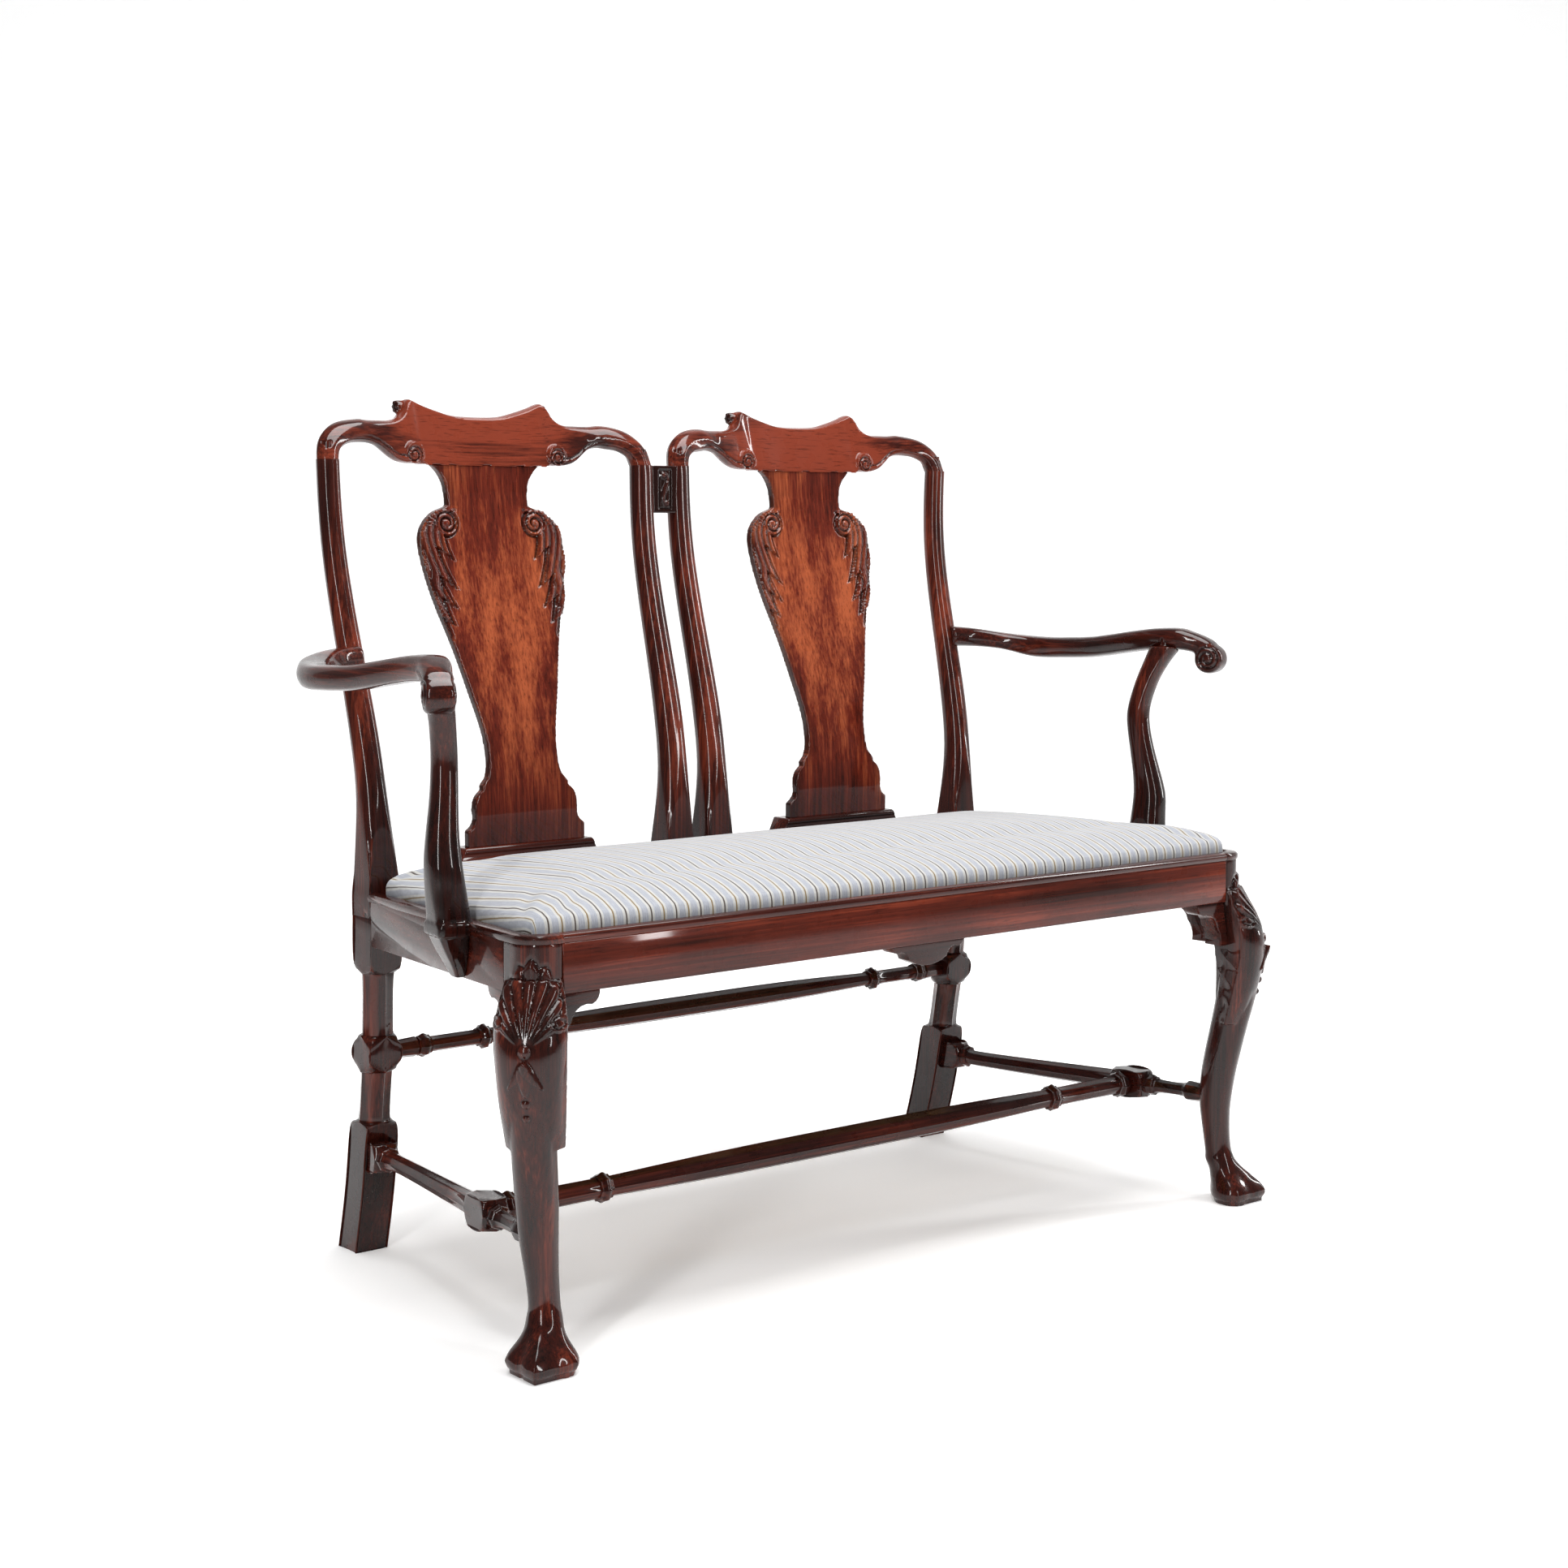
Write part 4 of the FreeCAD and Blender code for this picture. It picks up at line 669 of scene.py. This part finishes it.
def carve_arm(side):
    piece = carved_blank("arm_" + side, arm_voxel, 7)
    hub = np.array([scroll_x * way_of[side], scroll_y, scroll_z])
    ahead = Vector((0.387 * way_of[side], -0.922, 0))
    axle = np.array(Vector((0, 0, 1)).cross(ahead))
    knuckle = piece.vertex_groups.new(name="knuckle")
    near = np.linalg.norm(point_places(piece.data) - hub, axis=1)
    for i in np.nonzero(near < scroll_radius)[0]:
        share = np.clip((scroll_radius - near[i]) / 0.015, 0, 1)
        knuckle.add([int(i)], float(share), "REPLACE")
    softer = piece.modifiers.new("scraped_knuckle", "SMOOTH")
    softer.factor, softer.iterations, softer.vertex_group = 0.5, 60, "knuckle"
    apply_modifiers(piece)
    spot = (point_places(piece.data) - hub) / mm
    facing = np.abs(point_normals(piece.data) @ axle)
    end = step(np.abs(spot @ axle), 11.0, 13.5) * step(facing, 0.3, 0.6)
    groove = spiral(-(spot @ np.array(ahead)), spot[:, 2], 16.5, 6.4, 16.0) * end
    carve(piece, -1.8 * groove, groove * 0.95)
    mark_wear(piece, -0.75)
    seat(piece, ["arm_" + side], wood["Y"])
    print(piece.name, int(end.sum()), "points on the scroll's ends")


for side in way_of:
    carve_arm(side)
    support = carved_blank("arm_support_" + side, arm_voxel, 4)
    mark_wear(support, -0.5)
    seat(support, ["arm_support_" + side], wood["Z"])


# %% [markdown]
# The hidden frame under the seat is unpolished wood, and the screws and tacks are dull steel. The four outer
# rails of the loose seat get rounded edges, so that the cloth goes round them without a sharp corner.
# The other pieces here keep their CAD meshes and only get their finish.

# %% Raw wood and steel
def raw_wood(name, grain, dark, light):
    """Planed and unpolished wood with fine grain lines about 3 mm apart."""
    material, tree, shader = new_material(name)
    place = add(tree, "ShaderNodeTexCoord")
    scale = [330.0] * 3
    scale["XYZ".index(grain)] = 9.0
    along = add(tree, "ShaderNodeMapping", {"Vector": (place, "Object"), "Scale": scale})
    lines = add(tree, "ShaderNodeTexNoise", {"Vector": (along, "Vector"), "Scale": 1.0, "Detail": 4.0})
    tone = add(tree, "ShaderNodeValToRGB", {"Fac": (lines, "Fac")})
    set_stops(tone, [(0.3, dark), (0.7, light)])
    tree.links.new(tone.outputs["Color"], shader.inputs["Base Color"])
    relief = add(tree, "ShaderNodeBump", {"Height": (lines, "Fac"), "Strength": 0.2, "Distance": 0.0005})
    tree.links.new(relief.outputs["Normal"], shader.inputs["Normal"])
    shader.inputs["Roughness"].default_value = 0.62
    return material


def dull_steel():
    material, tree, shader = new_material("dull_forged_steel")
    place = add(tree, "ShaderNodeTexCoord")
    spots = add(tree, "ShaderNodeTexNoise", {"Vector": (place, "Object"), "Scale": 900.0, "Detail": 3.0})
    tone = add(tree, "ShaderNodeValToRGB", {"Fac": (spots, "Fac")})
    set_stops(tone, [(0.35, "#3a3634"), (0.7, "#7d7a78")])
    tree.links.new(tone.outputs["Color"], shader.inputs["Base Color"])
    shader.inputs["Metallic"].default_value = 1.0
    shader.inputs["Roughness"].default_value = 0.5
    return material


beech = {axis: raw_wood("raw_beech_" + axis.lower(), axis, "#a67c4e", "#c9a273") for axis in "XY"}
glue_block_wood = raw_wood("raw_pine", "X", "#7d5a35", "#a47c4d")
steel = dull_steel()
peg_wood = mahogany("mahogany_end_grain", "X", "#0d0403", "#1c0906", "#33140c")
print("raw wood and steel:", [m.name for m in beech.values()], glue_block_wood.name, steel.name)

# %% Hidden pieces
slip_rails = {"front": beech["X"], "rear": beech["X"], "left": beech["Y"], "right": beech["Y"]}
for where, material in slip_rails.items():
    planed("slip_rail_" + where, material, ease=0.0045)
finishes = {
    "slip_rail_centre": beech["Y"], "corner_blocks": glue_block_wood, "seat_brace": beech["Y"],
    "arm_screws": steel, "cover_tacks": steel, "joint_pegs": peg_wood,
}
for node, material in finishes.items():
    frame["nodes"][node].data.materials.clear()
    frame["nodes"][node].data.materials.append(material)
print("slip rails with rounded edges:", len(slip_rails), "finished CAD nodes:", len(finishes))


# %% [markdown]
# The seat is covered in a plain-woven linen with a stripe pattern that repeats every 31 mm: a thin brown line
# between cream lines, a blue-grey band, a thin tan line between cream lines, and another blue-grey band.
# Each point of the cushion keeps its place across the cloth, so that the stripes follow the cloth down the
# sides. Real threads are about 0.7 mm apart, too fine to show, so the weave is drawn at 1.4 mm.

# %% Striped linen
def plain_weave(tree, place, thread_mm, unevenness=0.0):
    """Height of a plain weave. One repeat takes two threads; at scale 1 a wave repeats every 100 pi mm."""
    scale = 100 * math.pi / (2 * thread_mm)
    sockets = {"Vector": (place, "Object"), "Scale": scale, "Distortion": unevenness}
    over = add(tree, "ShaderNodeTexWave", sockets, wave_type="BANDS", bands_direction="X")
    under = add(tree, "ShaderNodeTexWave", sockets, wave_type="BANDS", bands_direction="Y")
    return add(tree, "ShaderNodeMath", {0: (over, "Fac"), 1: (under, "Fac")}, operation="MULTIPLY")


def striped_linen(repeat_m=0.0314, thread_mm=1.4):
    material, tree, shader = new_material("striped_linen")
    place = add(tree, "ShaderNodeTexCoord")
    across = add(tree, "ShaderNodeAttribute", attribute_name="across_cloth")
    repeats = add(tree, "ShaderNodeMath", {0: (across, "Fac"), 1: 1.0 / repeat_m}, operation="MULTIPLY")
    share = add(tree, "ShaderNodeMath", {0: (repeats, 0)}, operation="FRACT")
    stripes = add(tree, "ShaderNodeValToRGB", {"Fac": (share, 0)})
    band, cream, brown, tan = "#94979f", "#aeadaa", "#40352f", "#75623f"
    set_stops(stripes, [
        (0.0, brown), (0.026, brown), (0.036, cream), (0.11, cream),
        (0.13, band), (0.36, band), (0.38, cream), (0.465, cream),
        (0.475, tan), (0.525, tan), (0.535, cream), (0.61, cream),
        (0.63, band), (0.86, band), (0.88, cream), (0.965, cream), (0.975, brown)])
    slub_place = add(tree, "ShaderNodeMapping", {
        "Vector": (place, "Object"), "Scale": (900.0, 60.0, 300.0)})
    slubs = add(tree, "ShaderNodeTexNoise", {"Vector": (slub_place, "Vector"), "Scale": 1.0, "Detail": 3.0})
    shade = add(tree, "ShaderNodeMapRange", {
        "Value": (slubs, "Fac"), "From Min": 0.3, "From Max": 0.7, "To Min": 0.86, "To Max": 1.06})
    tinted = add(tree, "ShaderNodeMix", {"Factor": 1.0, "A": (stripes, "Color"), "B": (shade, "Result")},
                 data_type="RGBA", blend_type="MULTIPLY")
    tree.links.new(tinted.outputs["Result"], shader.inputs["Base Color"])
    weave = plain_weave(tree, place, thread_mm)
    relief = add(tree, "ShaderNodeBump", {"Height": (weave, 0), "Strength": 0.25, "Distance": 0.0005})
    tree.links.new(relief.outputs["Normal"], shader.inputs["Normal"])
    shader.inputs["Roughness"].default_value = 0.88
    shader.inputs["Sheen Weight"].default_value = 0.25
    shader.inputs["Sheen Roughness"].default_value = 0.5
    return material


linen = striped_linen()
print("cloth:", linen.name)


# %% [markdown]
# The loose seat is a padded frame: webbing and hessian carry hair stuffing, and the linen is pulled over it
# and tacked under the frame. The cushion starts as the hull of the cover, a little flatter than the real one.
# Blender's cloth solver then blows up the free top while the tacked sides stay still, which gives the soft
# crown of a stuffed seat. Last, the cloth is pulled down towards the lip, but never below the cover's form.

# %% Padded seat
rail_top, front_y, seat_slope = 0.436, -0.2713, 12.0 / 431.0
half_width, side_taper = 0.5194, 0.1508     # of the loose seat, at the front of the rails
lip_room = 0.0146                           # from the front of the rails to the loose seat
rear_edge = 0.1537                          # rear edge of the loose seat
crown = 0.048
# Heights of the cover above the rails, at these distances from its sides.
form_insets = (0.0, 0.004, 0.013, 0.032, 0.072, 0.125, 0.165)
form_heights = (0.0194, *(crown * share for share in (0.56, 0.72, 0.84, 0.93, 0.98, 1.0)))


def above_rail(places):
    """Height above the sloping plane of the rails' top."""
    return places[:, 2] - (rail_top - (places[:, 1] - front_y) * seat_slope)


def rim_distance(places):
    """Distance in plan from the left, right or front side of the loose seat."""
    back = places[:, 1] - front_y
    return np.minimum(half_width - back * side_taper - np.abs(places[:, 0]), back - lip_room)


def hull_of(node, name):
    work = bmesh.new()
    for v in frame["nodes"][node].data.vertices:
        work.verts.new(v.co)
    bmesh.ops.remove_doubles(work, verts=work.verts, dist=1e-5)
    hull = bmesh.ops.convex_hull(work, input=work.verts)
    inside = [part for part in hull["geom_interior"] if isinstance(part, bmesh.types.BMVert)]
    bmesh.ops.delete(work, geom=inside, context="VERTS")
    mesh = bpy.data.meshes.new(name)
    work.to_mesh(mesh)
    work.free()
    return mesh


cushion = new_piece("striped_cushion", hull_of("seat_cover", "seat_form"))
add_voxel_skin(cushion, 0.006)
apply_modifiers(cushion)
points = point_places(cushion.data)
height = above_rail(points)
points[:, 2] -= np.clip(height - 0.022, 0, None) * 0.12
put_points(cushion.data, points)
tacked = cushion.vertex_groups.new(name="tacked")
for i, h in enumerate(height):
    tacked.add([i], float(np.clip((0.027 - h) / 0.007, 0, 1)), "REPLACE")
print("cushion starts with", len(points), "points")

# %% Blow up the crown
last_frame = 20
largest_swell = 0.024
pulled_strip = 0.13         # width of the strip along the sides that is pulled down
cloth = cushion.modifiers.new("stuffing_pressure", "CLOTH")
cloth.settings.quality = 5
cloth.settings.mass = 0.3
cloth.settings.use_pressure = True
cloth.settings.uniform_pressure_force = 4.0
cloth.settings.vertex_group_mass = "tacked"
cloth.settings.effector_weights.gravity = 0.0
cloth.point_cache.frame_start, cloth.point_cache.frame_end = 1, last_frame
for moment in range(1, last_frame + 1):
    bpy.context.scene.frame_set(moment)
apply_modifiers(cushion)
bpy.context.scene.frame_set(1)
move = point_places(cushion.data) - points
far = np.linalg.norm(move, axis=1, keepdims=True)
points = points + move * np.minimum(1.0, largest_swell / np.maximum(far, 1e-9))
inset = rim_distance(points)
cover_form = np.interp(inset, form_insets, form_heights)
height = above_rail(points)
pulled = height * (1 - 0.86 * np.clip(1 - inset / pulled_strip, 0, 1) ** 2)
points[:, 2] += np.where(height > cover_form, np.maximum(pulled, cover_form) - height, 0)
put_points(cushion.data, points)
print("the crown moved by up to", round(float(far.max()) / mm, 1), "mm")

# %% [markdown]
# Under the frame the cloth ends in a hem 26 mm wide, so that the webbing and hessian show from below.
# The faces inside the hem are cut out, and the cloth gets its thickness inwards.

# %% Trim and cover the cushion
hem_wide = 0.026
shoulder = 0.026            # height at which the sides of the cushion turn upright
work = bmesh.new()
work.from_mesh(cushion.data)
spots = np.array([face.calc_center_median() for face in work.faces])
insets = np.minimum(rim_distance(spots), rear_edge - spots[:, 1])
inner = [face for face, inset in zip(work.faces, insets) if face.normal.z < -0.7 and inset > hem_wide]
print("opens", len(inner), "faces under the seat")
bmesh.ops.delete(work, geom=inner, context="FACES")
work.to_mesh(cushion.data)
work.free()
cloth_edge = cushion.modifiers.new("cloth_thickness", "SOLIDIFY")
cloth_edge.thickness, cloth_edge.offset = 0.0011, -1.0
softer = cushion.modifiers.new("softer", "SUBSURF")
softer.levels = softer.render_levels = 1
apply_modifiers(cushion)
points, normals = point_places(cushion.data), point_normals(cushion.data)
turn = np.clip((np.abs(normals[:, 0]) - np.abs(normals[:, 1])) * 2, 0, 1)
drop = turn * np.clip(shoulder - above_rail(points), 0, None)
layer = cushion.data.attributes.new("across_cloth", "FLOAT", "POINT")
layer.data.foreach_set("value", points[:, 0] + np.sign(points[:, 0]) * drop + 1.0)
seat(cushion, ["seat_cover", "seat_stuffing"], linen)
print("cushion:", [round(float(v), 3) for v in (*points.min(0), *points.max(0))])


# %% [markdown]
# Jute webbing and hessian close the seat from below. They are plain weaves of coarse brown yarn,
# about 2 mm apart in the webbing and 1.5 mm in the hessian.

# %% Webbing and hessian
def jute(name, dark, light, yarn_mm):
    material, tree, shader = new_material(name)
    place = add(tree, "ShaderNodeTexCoord")
    weave = plain_weave(tree, place, yarn_mm, 0.6)
    tone = add(tree, "ShaderNodeValToRGB", {"Fac": (weave, 0)})
    set_stops(tone, [(0.1, dark), (0.8, light)])
    tree.links.new(tone.outputs["Color"], shader.inputs["Base Color"])
    relief = add(tree, "ShaderNodeBump", {"Height": (weave, 0), "Strength": 0.5, "Distance": 0.0006})
    tree.links.new(relief.outputs["Normal"], shader.inputs["Normal"])
    shader.inputs["Roughness"].default_value = 0.92
    return material


planed("seat_webbing", jute("jute_webbing", "#6d5535", "#a58c62", 2.0), ease=0.0004)
planed("seat_hessian", jute("jute_hessian", "#7a6341", "#b39a6f", 1.5), ease=0.0003)
print("webbing and hessian laid")


# %% [markdown]
# A pale studio floor curves up far behind the settee, so that the photograph's view shows no horizon. One
# large soft light hangs above, and narrow strip lights stand to the left, in front and to the right. The
# strips put long narrow highlights on the polished posts, as in a sale-room photograph.

# %% Studio floor
def paper_sweep():
    """White paper with a painted glow: it glows more away from the settee, less near it as painted shade
    round it, and not in front of it.
    """
    material, tree, shader = new_material("white_paper_sweep_painted_glow")
    place = add(tree, "ShaderNodeTexCoord")
    fibre = add(tree, "ShaderNodeTexNoise", {"Vector": (place, "Object"), "Scale": 300.0, "Detail": 2.0})
    tone = add(tree, "ShaderNodeValToRGB", {"Fac": (fibre, "Fac")})
    set_stops(tone, [(0.3, "#f4f4f4"), (0.7, "#fafafa")])
    tree.links.new(tone.outputs["Color"], shader.inputs["Base Color"])
    shader.inputs["Roughness"].default_value = 0.75
    shader.inputs["Specular IOR Level"].default_value = 0.2
    # The glow is painted light that stands in for lamps beyond the paper's edges, and it is weaker near the
    # settee as painted shade.
    far = add(tree, "ShaderNodeVectorMath", {0: (place, "Object")}, operation="LENGTH")
    glow = add(tree, "ShaderNodeMapRange", {
        "Value": (far, "Value"), "From Min": 0.5, "From Max": 1.6, "To Min": 0.22, "To Max": 0.42})
    split = add(tree, "ShaderNodeSeparateXYZ", {"Vector": (place, "Object")})
    ahead = add(tree, "ShaderNodeMapRange", {"Value": (split, "Y"), "From Min": -2.4, "From Max": -1.2})
    painted_glow = add(tree, "ShaderNodeMath", {0: (glow, "Result"), 1: (ahead, "Result")}, operation="MULTIPLY")
    shader.inputs["Emission Color"].default_value = colour("#ffffff")
    tree.links.new(painted_glow.outputs[0], shader.inputs["Emission Strength"])
    return material


def studio_floor():
    front, bend, bend_radius, top, half_wide = -6.0, 2.5, 2.0, 7.0, 9.0
    rows = [(front, 0.0), (bend, 0.0)]
    for degrees in range(9, 91, 9):
        angle = math.radians(degrees)
        rows.append((bend + bend_radius * math.sin(angle), bend_radius - bend_radius * math.cos(angle)))
    rows.append((bend + bend_radius, top))
    corners = [(x, y, z) for y, z in rows for x in (-half_wide, half_wide)]
    faces = [(2 * i, 2 * i + 1, 2 * i + 3, 2 * i + 2) for i in range(len(rows) - 1)]
    mesh = bpy.data.meshes.new("studio_floor")
    mesh.from_pydata(corners, [], faces)
    mesh.polygons.foreach_set("use_smooth", [True] * len(faces))
    mesh.materials.append(paper_sweep())
    floor = new_piece("studio_floor", mesh)
    floor.rotation_euler = (0, 0, math.radians(-38.5))


studio_floor()
print("studio floor laid")

# %% Lights
def soft_light(name, place, target, wide, tall, watts):
    lamp = bpy.data.lights.new(name, "AREA")
    lamp.shape = "RECTANGLE"
    lamp.size, lamp.size_y, lamp.energy = wide, tall, watts
    light = bpy.data.objects.new(name, lamp)
    bpy.context.scene.collection.objects.link(light)
    light.location = place
    light.rotation_euler = (Vector(target) - Vector(place)).to_track_quat("-Z", "Y").to_euler()


strip_wide, strip_tall, strip_target = 0.16, 2.2, (0, 0, 0.6)
soft_light("top_softbox", (0.0, -0.3, 3.0), (0, 0, 0.4), 2.4, 1.6, 115.0)
soft_light("left_strip", (-2.4, -1.5, 1.5), strip_target, strip_wide, strip_tall, 34.0)
soft_light("front_strip", (0.7, -3.4, 1.7), strip_target, strip_wide, strip_tall, 28.0)
soft_light("right_strip", (2.6, -0.9, 1.5), strip_target, strip_wide, strip_tall, 28.0)
world = bpy.data.worlds.new("bright_room")
world.use_nodes = True
world.node_tree.nodes["Background"].inputs["Color"].default_value = colour("#ffffff")
world.node_tree.nodes["Background"].inputs["Strength"].default_value = 0.15
bpy.context.scene.world = world
bpy.context.scene.view_settings.view_transform = "Standard"
print("lights:", [light.name for light in bpy.data.lights])


# %% [markdown]
# The camera stands where the photograph was taken: to the left of the settee's front, a little below its
# crest. Its place and focal length come from points that can be matched on both sides of the symmetric frame.

# %% Camera
photo_width, focal_pixels = 1932, 3025.6
eye = bpy.data.cameras.new("photo_camera")
eye.sensor_width = 36.0
eye.lens = eye.sensor_width * focal_pixels / photo_width
eye.clip_start, eye.clip_end = 0.05, 50.0
camera = bpy.data.objects.new("photo_camera", eye)
bpy.context.scene.collection.objects.link(camera)
camera.location = (-1.8219, -2.2955, 0.8443)
camera.rotation_euler = Vector((0.6195, 0.7782, -0.1028)).to_track_quat("-Z", "Y").to_euler()
bpy.context.scene.camera = camera
print("camera lens", round(eye.lens, 2), "mm")
